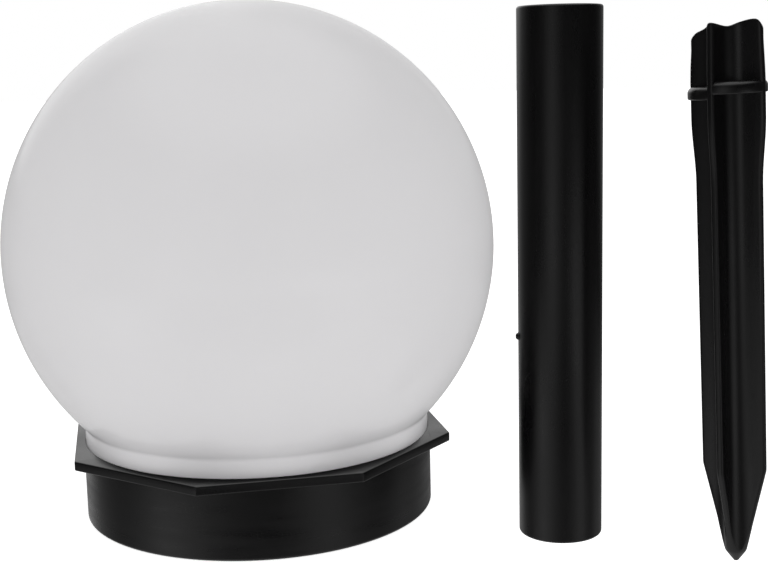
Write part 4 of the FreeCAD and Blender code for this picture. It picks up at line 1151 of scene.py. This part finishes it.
def legged_chip():
    """A moulded epoxy chip on tinned legs, with a pressed dimple at its first leg."""
    material, tree = blank_material("legged_chip")
    low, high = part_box("driver_chip")
    legs = outside(tree, 1, low[1] / MM + CHIP_LEGS, high[1] / MM - CHIP_LEGS)
    first_leg = (low[0] + CHIP_DIMPLE[0] * MM, low[1] + CHIP_DIMPLE[1] * MM, high[2])
    away = add_node(tree, "ShaderNodeVectorMath", object_place(tree), first_leg)
    away.operation = "DISTANCE"
    dimple = spread(tree, away.outputs["Value"], 0.0, 1.0, *[v * MM for v in DIMPLE_EDGE])
    grain, flow = skin(tree, 9.0, (0.5, 0.5, 0.5))
    epoxy = blend_colours(tree, flow, (0.012, 0.012, 0.013), (0.024, 0.024, 0.026))
    colour = blend_colours(tree, legs, epoxy, (0.55, 0.55, 0.56))
    return dress(material, colour, spread(tree, grain, 0.45, 0.62), dimple, 0.1, metal=legs)


def cell_silicon():
    """Blue-black crystalline silicon: angular grains that differ a little in tint."""
    material, tree = blank_material("cell_silicon", Coat_Weight=0.7, Coat_Roughness=0.06)
    grains = add_node(tree, "ShaderNodeTexVoronoi", Vector=object_place(tree), Scale=0.45 / MM)
    tint = add_node(tree, "ShaderNodeSeparateColor", grains.outputs["Color"]).outputs
    colour = blend_colours(tree, tint[0], (0.006, 0.010, 0.032), (0.014, 0.024, 0.075))
    return dress(material, colour, spread(tree, tint[1], 0.22, 0.40, 0.0, 1.0), tint[2], 0.004)


def clear_plastic(name, tint, ior, haze):
    """A clear resin with faint haze where it was handled."""
    material, tree = blank_material(name, Transmission_Weight=1.0, IOR=ior)
    smudge = handling(tree, 0.07, (0.7, 0.1, 0.4))[0]
    flow = skin(tree, 2.0, (0.05, 0.05, 0.05))[1]
    colour = blend_colours(tree, flow, [0.97 * v for v in tint], tint)
    return dress(material, colour, spread(tree, smudge, *haze), flow, 0.02)


green_board = masked_board("green_board", (0.010, 0.085, 0.035), (0.030, 0.170, 0.075), 0.42)
panel_board_black = masked_board("panel_board_black", (0.012, 0.016, 0.015), (0.030, 0.036, 0.034), 0.2)
cell_sleeve = sleeved_cell()
drum = wound_ferrite()
chip = legged_chip()
silicon = cell_silicon()
clear_resin = clear_plastic("clear_resin", (0.95, 0.97, 0.98), 1.49, (0.02, 0.09))
clear_epoxy = clear_plastic("clear_epoxy", (0.98, 0.98, 0.95), 1.53, (0.01, 0.05))
sheath = (5.0, (0.3, 0.3, 0.3), 0.02)
red_pvc = moulded("red_pvc", (0.42, 0.012, 0.010), (0.55, 0.020, 0.016), (0.30, 0.45), *sheath)
black_pvc = moulded("black_pvc", (0.012, 0.012, 0.013), (0.022, 0.022, 0.024), (0.32, 0.48), *sheath)
print("electrical finishes made")

# %% [markdown]
# ## Give the CAD nodes their finishes
# Most inner pieces have the right shape already, so their CAD nodes stay and only get a material. The table
# below says which, and a loop fills the material slots of each node's object.

# %% Finishes for the CAD nodes
NODE_FINISHES = {
    "neck_seal": seal_black, "panel_board": panel_board_black, "solar_cells": silicon,
    "panel_lens": clear_resin, "led_board": green_board, "control_board": green_board, "driver_chip": chip,
    "inductor": drum, "switch_body": tinned, "battery": cell_sleeve, "positive_contact": nickel,
    "negative_contact": nickel, "reflector_tray": tray_white, "bottom_plate": base_black,
    "battery_cover": base_black, "switch_knob": base_black,
}
for k in range(1, 5):
    NODE_FINISHES[f"led_{k}"] = clear_epoxy
for kind in ("panel", "led", "battery"):
    NODE_FINISHES[kind + "_lead_red"] = red_pvc
    NODE_FINISHES[kind + "_lead_black"] = black_pvc
for name, material in NODE_FINISHES.items():
    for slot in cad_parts[name].material_slots:
        slot.material = material
print("finishes on", len(NODE_FINISHES), "CAD nodes")

# %% [markdown]
# ## Screws
# Eleven pan-head screws hold the lamp together, in four sizes. Each is turned, crossed by a drive recess and
# wound with a thread. That is one rule with a few sizes, so a Geometry Nodes tree makes the screw from its
# turned blank: two bars are cut out of the head, and a spiral is swept for the thread. A second tree copies
# a finished screw to its places, each turned by a seeded random angle, because nobody stops a screw at the
# same angle twice.

# %% The screw tree
THREAD_RIDGE = 0.22 * MM
THREAD_START = 0.6 * MM


def vector_of(tree, *values):
    """A vector of three sockets or numbers."""
    return add_node(tree, "ShaderNodeCombineXYZ", *values).outputs[0]


def join_of(tree, *geometries):
    """Several geometries as one."""
    join = add_node(tree, "GeometryNodeJoinGeometry")
    for geometry in geometries:
        feed(tree, join.inputs[0], geometry)
    return join.outputs[0]


def make_screw_tree():
    """Cuts a crossed drive into a turned blank at Head Top, and winds a thread round its shank."""
    sizes = ["Slot " + part for part in ("Width", "Reach", "Depth")] + ["Head Top"]
    sizes += ["Thread " + part for part in ("Radius", "Length", "Turns")]
    tree, given, result = new_geometry_tree("pan_screw", [(label, "Float") for label in sizes])
    cut = add_node(tree, "GeometryNodeMeshBoolean", Mesh_1=given["Geometry"])
    cut.operation = "DIFFERENCE"
    place = vector_of(tree, 0.0, 0.0, given["Head Top"])
    deep = math_of(tree, "MULTIPLY", given["Slot Depth"], 2.0)
    wide, long = given["Slot Width"], given["Slot Reach"]
    for across, along in ((wide, long), (long, wide)):
        bar = add_node(tree, "GeometryNodeMeshCube", Size=vector_of(tree, across, along, deep))
        lift = add_node(tree, "GeometryNodeTransform", Geometry=bar.outputs["Mesh"], Translation=place)
        feed(tree, cut.inputs["Mesh 2"], lift.outputs[0])
    spiral = add_node(
        tree, "GeometryNodeCurveSpiral", Resolution=20, Rotations=given["Thread Turns"],
        Start_Radius=given["Thread Radius"], End_Radius=given["Thread Radius"],
        Height=math_of(tree, "MULTIPLY", given["Thread Length"], -1.0),
    )
    ridge = add_node(tree, "GeometryNodeCurvePrimitiveCircle", Resolution=4, Radius=THREAD_RIDGE)
    sweep = add_node(
        tree, "GeometryNodeCurveToMesh", Curve=spiral.outputs[0], Profile_Curve=ridge.outputs["Curve"],
        Fill_Caps=True,
    )
    start = (0, 0, -THREAD_START)
    thread = add_node(tree, "GeometryNodeTransform", Geometry=sweep.outputs[0], Translation=start)
    return finish_tree(tree, given, result, join_of(tree, thread.outputs[0], cut.outputs["Mesh"]))


def make_placing_tree():
    """Copies an object to every point, each copy turned about Z by up to Spin at random."""
    inputs = [("Piece", "Object"), ("Spin", "Float"), ("Seed", "Int")]
    tree, given, result = new_geometry_tree("placed_copies", inputs)
    piece = add_node(tree, "GeometryNodeObjectInfo", Object=given["Piece"]).outputs["Geometry"]
    chance = add_node(tree, "FunctionNodeRandomValue", Seed=given["Seed"])
    chance.data_type = "FLOAT"
    low, high = [socket for socket in chance.inputs if socket.type == "VALUE" and socket.enabled]
    feed(tree, low, 0.0)
    feed(tree, high, given["Spin"])
    angle = [socket for socket in chance.outputs if socket.type == "VALUE" and socket.enabled][0]
    spin = vector_of(tree, 0.0, 0.0, angle)
    copies = add_node(
        tree, "GeometryNodeInstanceOnPoints", Points=given["Geometry"], Instance=piece, Rotation=spin
    )
    return finish_tree(tree, given, result, copies.outputs[0])


screw_tree = make_screw_tree()
placing_tree = make_placing_tree()
print("screw tree has", len(screw_tree.nodes), "nodes and placing tree", len(placing_tree.nodes))

# %% Screws in their places
SLOT_WIDTH = 0.7
SLOT_DEPTH = 0.6
SLOT_REACH = 1.3
PITCH = 0.8
THREAD_SUNK = 0.05
PLAIN_SHANK = 2.0
POINT_SHARE = 0.5
DOME_SHARE = 0.45
SCREW_EASES = [0, 0.6, 0.6, 0.15, 0, 0, 0.1, 0]
SCREW_STEPS = 36


def screw_mesh(radius, length, head_radius, head_height, upward):
    """One screw seated at the origin, whose shank runs up or down."""
    dome = head_height * DOME_SHARE
    corners = [
        (0, head_height), (head_radius - dome, head_height), (head_radius, head_height - dome),
        (head_radius, 0), (radius, 0), (radius, radius - length), (radius * POINT_SHARE, -length),
        (0, -length),
    ]
    threaded = length - PLAIN_SHANK
    values = {
        "Slot Width": SLOT_WIDTH * MM, "Slot Reach": SLOT_REACH * head_radius * MM,
        "Slot Depth": SLOT_DEPTH * MM, "Head Top": head_height * MM,
        "Thread Radius": (radius - THREAD_SUNK) * MM, "Thread Length": threaded * MM,
        "Thread Turns": threaded / PITCH, "Material": zinc,
    }
    blank = turned_mesh(rounded(corners, SCREW_EASES), SCREW_STEPS, zinc)
    mesh = run_tree(screw_tree, blank, values)
    if upward:
        moved(mesh, Matrix.Rotation(math.pi, 4, "X"))
    return mesh


def placed_copies(mesh, places, spin, seed, material):
    """A mesh of copies of one mesh, at places in millimetres."""
    piece = bpy.data.objects.new("one", mesh)
    bpy.context.collection.objects.link(piece)
    points = bpy.data.meshes.new("places")
    points.from_pydata([place * MM for place in places], [], [])
    values = {"Piece": piece, "Spin": spin, "Seed": seed, "Material": material}
    copies = run_tree(placing_tree, points, values)
    bpy.data.objects.remove(piece)
    return copies


def add_screws(node, body, sizes, places, upward, seed):
    """A set of equal screws that stands for a CAD node."""
    copies = placed_copies(screw_mesh(*sizes, upward), places, math.pi, seed, zinc)
    return add_piece(node + "_turned", tidy(copies), body, zinc, [node])


# Each size is the shank's radius, the length under the head, and the head's radius and height. A base
# screw's head is 0.05 mm under its CAD radius, because the drive recess doesn't cut cleanly at that size.
BASE_SCREW = (1.3, 8.0, 2.65, 1.5)
TRAY_SCREW = (1.1, 7.0, 1.9, 1.3)
BOARD_SCREW = (0.9, 5.0, 1.7, 1.1)
COVER_SCREW = (1.3, 8.0, 2.4, 1.4)
PLATE_FOOT = 2.0
TRAY_SCREW_CIRCLE = 45.9
TRAY_TOP = FLANGE_TOP + 2.0
base_places = [polar(BOSS_CIRCLE, degrees, PLATE_FOOT) for degrees in SQUARE]
tray_places = [polar(TRAY_SCREW_CIRCLE, degrees, TRAY_TOP) for degrees in SQUARE]
low, high = box_mm("board_screws")
reach, board_top = high[0] - BOARD_SCREW[2], box_mm("control_board")[1][2]
board_places = [Vector((x, (low[1] + high[1]) / 2, board_top)) for x in (-reach, reach)]
low, high = box_mm("cover_screw")
cover_places = [Vector(((low[0] + high[0]) / 2, (low[1] + high[1]) / 2, PLATE_FOOT))]
add_screws("base_screws", "lamp_base", BASE_SCREW, base_places, True, 3)
add_screws("tray_screws", "lamp_base", TRAY_SCREW, tray_places, False, 5)
add_screws("board_screws", "lamp_base", BOARD_SCREW, board_places, False, 7)
add_screws("cover_screw", "cover", COVER_SCREW, cover_places, True, 9)

# %% [markdown]
# ## Finger lines of the solar cells
# Each cell strip carries thin silver lines that gather its current, and one thicker bar that joins them.
# They could be painted by a texture, but they stand a little proud and catch the light, so they are
# geometry: a tree lays a line of bars, adds the long bar, and copies the set to all eight strips.

# %% Finger lines
FINGER_COUNT = 23
FINGER_WIDTH = 0.13
FINGER_PROUD = 0.02
BUSBAR_WIDTH = 0.45
CELL_COUNT = 8
CELL_GAP = 0.5
# How much less than the cell the row, a finger and the busbar are, both ends together.
ROW_MARGIN = 1.4
FINGER_MARGIN = 0.3
BUSBAR_MARGIN = 0.6


def make_finger_tree():
    """On each point, a row of thin bars along Y and one long bar across them."""
    inputs = [("Finger Count", "Int"), ("Finger Pitch", "Float")]
    inputs += [("Finger Size", "Vector"), ("Busbar Size", "Vector")]
    tree, given, result = new_geometry_tree("cell_fingers", inputs)
    count, pitch = given["Finger Count"], given["Finger Pitch"]
    half = math_of(tree, "MULTIPLY", math_of(tree, "SUBTRACT", count, 1.0), -0.5)
    start = vector_of(tree, 0.0, math_of(tree, "MULTIPLY", half, pitch), 0.0)
    step = vector_of(tree, 0.0, pitch, 0.0)
    row = add_node(tree, "GeometryNodeMeshLine", Count=count, Start_Location=start, Offset=step)
    finger = add_node(tree, "GeometryNodeMeshCube", Size=given["Finger Size"]).outputs["Mesh"]
    busbar = add_node(tree, "GeometryNodeMeshCube", Size=given["Busbar Size"]).outputs["Mesh"]
    fingers = add_node(tree, "GeometryNodeInstanceOnPoints", Points=row.outputs["Mesh"], Instance=finger)
    cell = join_of(tree, fingers.outputs[0], busbar)
    strips = add_node(tree, "GeometryNodeInstanceOnPoints", Points=given["Geometry"], Instance=cell)
    return finish_tree(tree, given, result, strips.outputs[0])


def make_fingers():
    """The silver lines of all eight strips."""
    low, high = map(Vector, box_mm("solar_cells"))
    pitch = (high.x - low.x + CELL_GAP) / CELL_COUNT
    strip = pitch - CELL_GAP
    length = high.y - low.y
    points = bpy.data.meshes.new("strips")
    centres = [(low.x + strip / 2 + k * pitch, (low.y + high.y) / 2, high.z) for k in range(CELL_COUNT)]
    points.from_pydata([Vector(centre) * MM for centre in centres], [], [])
    thick = 2 * FINGER_PROUD * MM
    values = {
        "Finger Count": FINGER_COUNT, "Finger Pitch": (length - ROW_MARGIN) / (FINGER_COUNT - 1) * MM,
        "Finger Size": ((strip - FINGER_MARGIN) * MM, FINGER_WIDTH * MM, thick),
        "Busbar Size": (BUSBAR_WIDTH * MM, (length - BUSBAR_MARGIN) * MM, 1.5 * thick),
        "Material": silver_paste,
    }
    mesh = run_tree(make_finger_tree(), points, values)
    return add_piece("cell_fingers", mesh, "lamp_base", silver_paste)


make_fingers()

# %% [markdown]
# ## Inside the clear lamps
# A clear 5 mm lamp shows its insides: two leads, the wider of which ends in a small cup with the lit chip in
# it. The four sets are equal, so one is made and the placing tree copies it. The leads are plain bars with
# bevelled edges.

# %% Lamp insides
LAMP_CIRCLE = 39.2
LEAD_SIDE = 0.5
LEAD_SPREAD = 1.27
ANVIL_TOP = 3.4
LEAD_FOOT = 0.1
LEAD_EASE = 0.05
CUP_RADIUS = 0.95
CUP_SHIFT = -0.35
CUP_STEPS = 24
LAMP_SPIN = 0.3


def bevelled_bar(low, high, ease):
    """A bar between two corners, with eased edges."""
    bm = bmesh.new()
    bmesh.ops.create_cube(bm, size=1.0)
    size = high - low
    for vert in bm.verts:
        vert.co = low + Vector((vert.co[k] + 0.5) * size[k] for k in range(3))
    bmesh.ops.bevel(bm, geom=bm.edges, offset=ease, segments=2, affect="EDGES", profile=0.5)
    return mesh_of(bm, "bar")


def make_lamp_insides():
    """Leads, cup and anvil in each of the four lamps."""
    foot = box_mm("led_1")[0][2]
    half = LEAD_SIDE / 2
    near, far = LEAD_SPREAD - half, LEAD_SPREAD + half
    bars = []
    for x0, x1, z0, z1 in (
        (-far, -near, LEAD_FOOT, ANVIL_TOP), (near, far, LEAD_FOOT, ANVIL_TOP),
        (-far, 0.35, ANVIL_TOP - 1.2, ANVIL_TOP - 0.3), (0.75, far, ANVIL_TOP - 1.0, ANVIL_TOP),
    ):
        bars.append(bevelled_bar(Vector((x0, -half, z0)) * MM, Vector((x1, half, z1)) * MM, LEAD_EASE * MM))
    cup = [(0, ANVIL_TOP - 0.05), (0.35, ANVIL_TOP - 0.05), (CUP_RADIUS - 0.15, ANVIL_TOP + 0.35),
           (CUP_RADIUS, ANVIL_TOP + 0.35), (0.6, ANVIL_TOP - 0.7), (0, ANVIL_TOP - 0.7)]
    bars.append(moved(turned_mesh(cup, CUP_STEPS, nickel), Matrix.Translation((CUP_SHIFT * MM, 0, 0))))
    places = [polar(LAMP_CIRCLE, 45 + 90 * k, foot) for k in range(4)]
    copies = placed_copies(tidy(joined("lamp", bars)), places, LAMP_SPIN, 11, nickel)
    return add_piece("lamp_insides", copies, "lamp_base", nickel)


make_lamp_insides()

# %% The bounds of the dressed pieces
low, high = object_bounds()
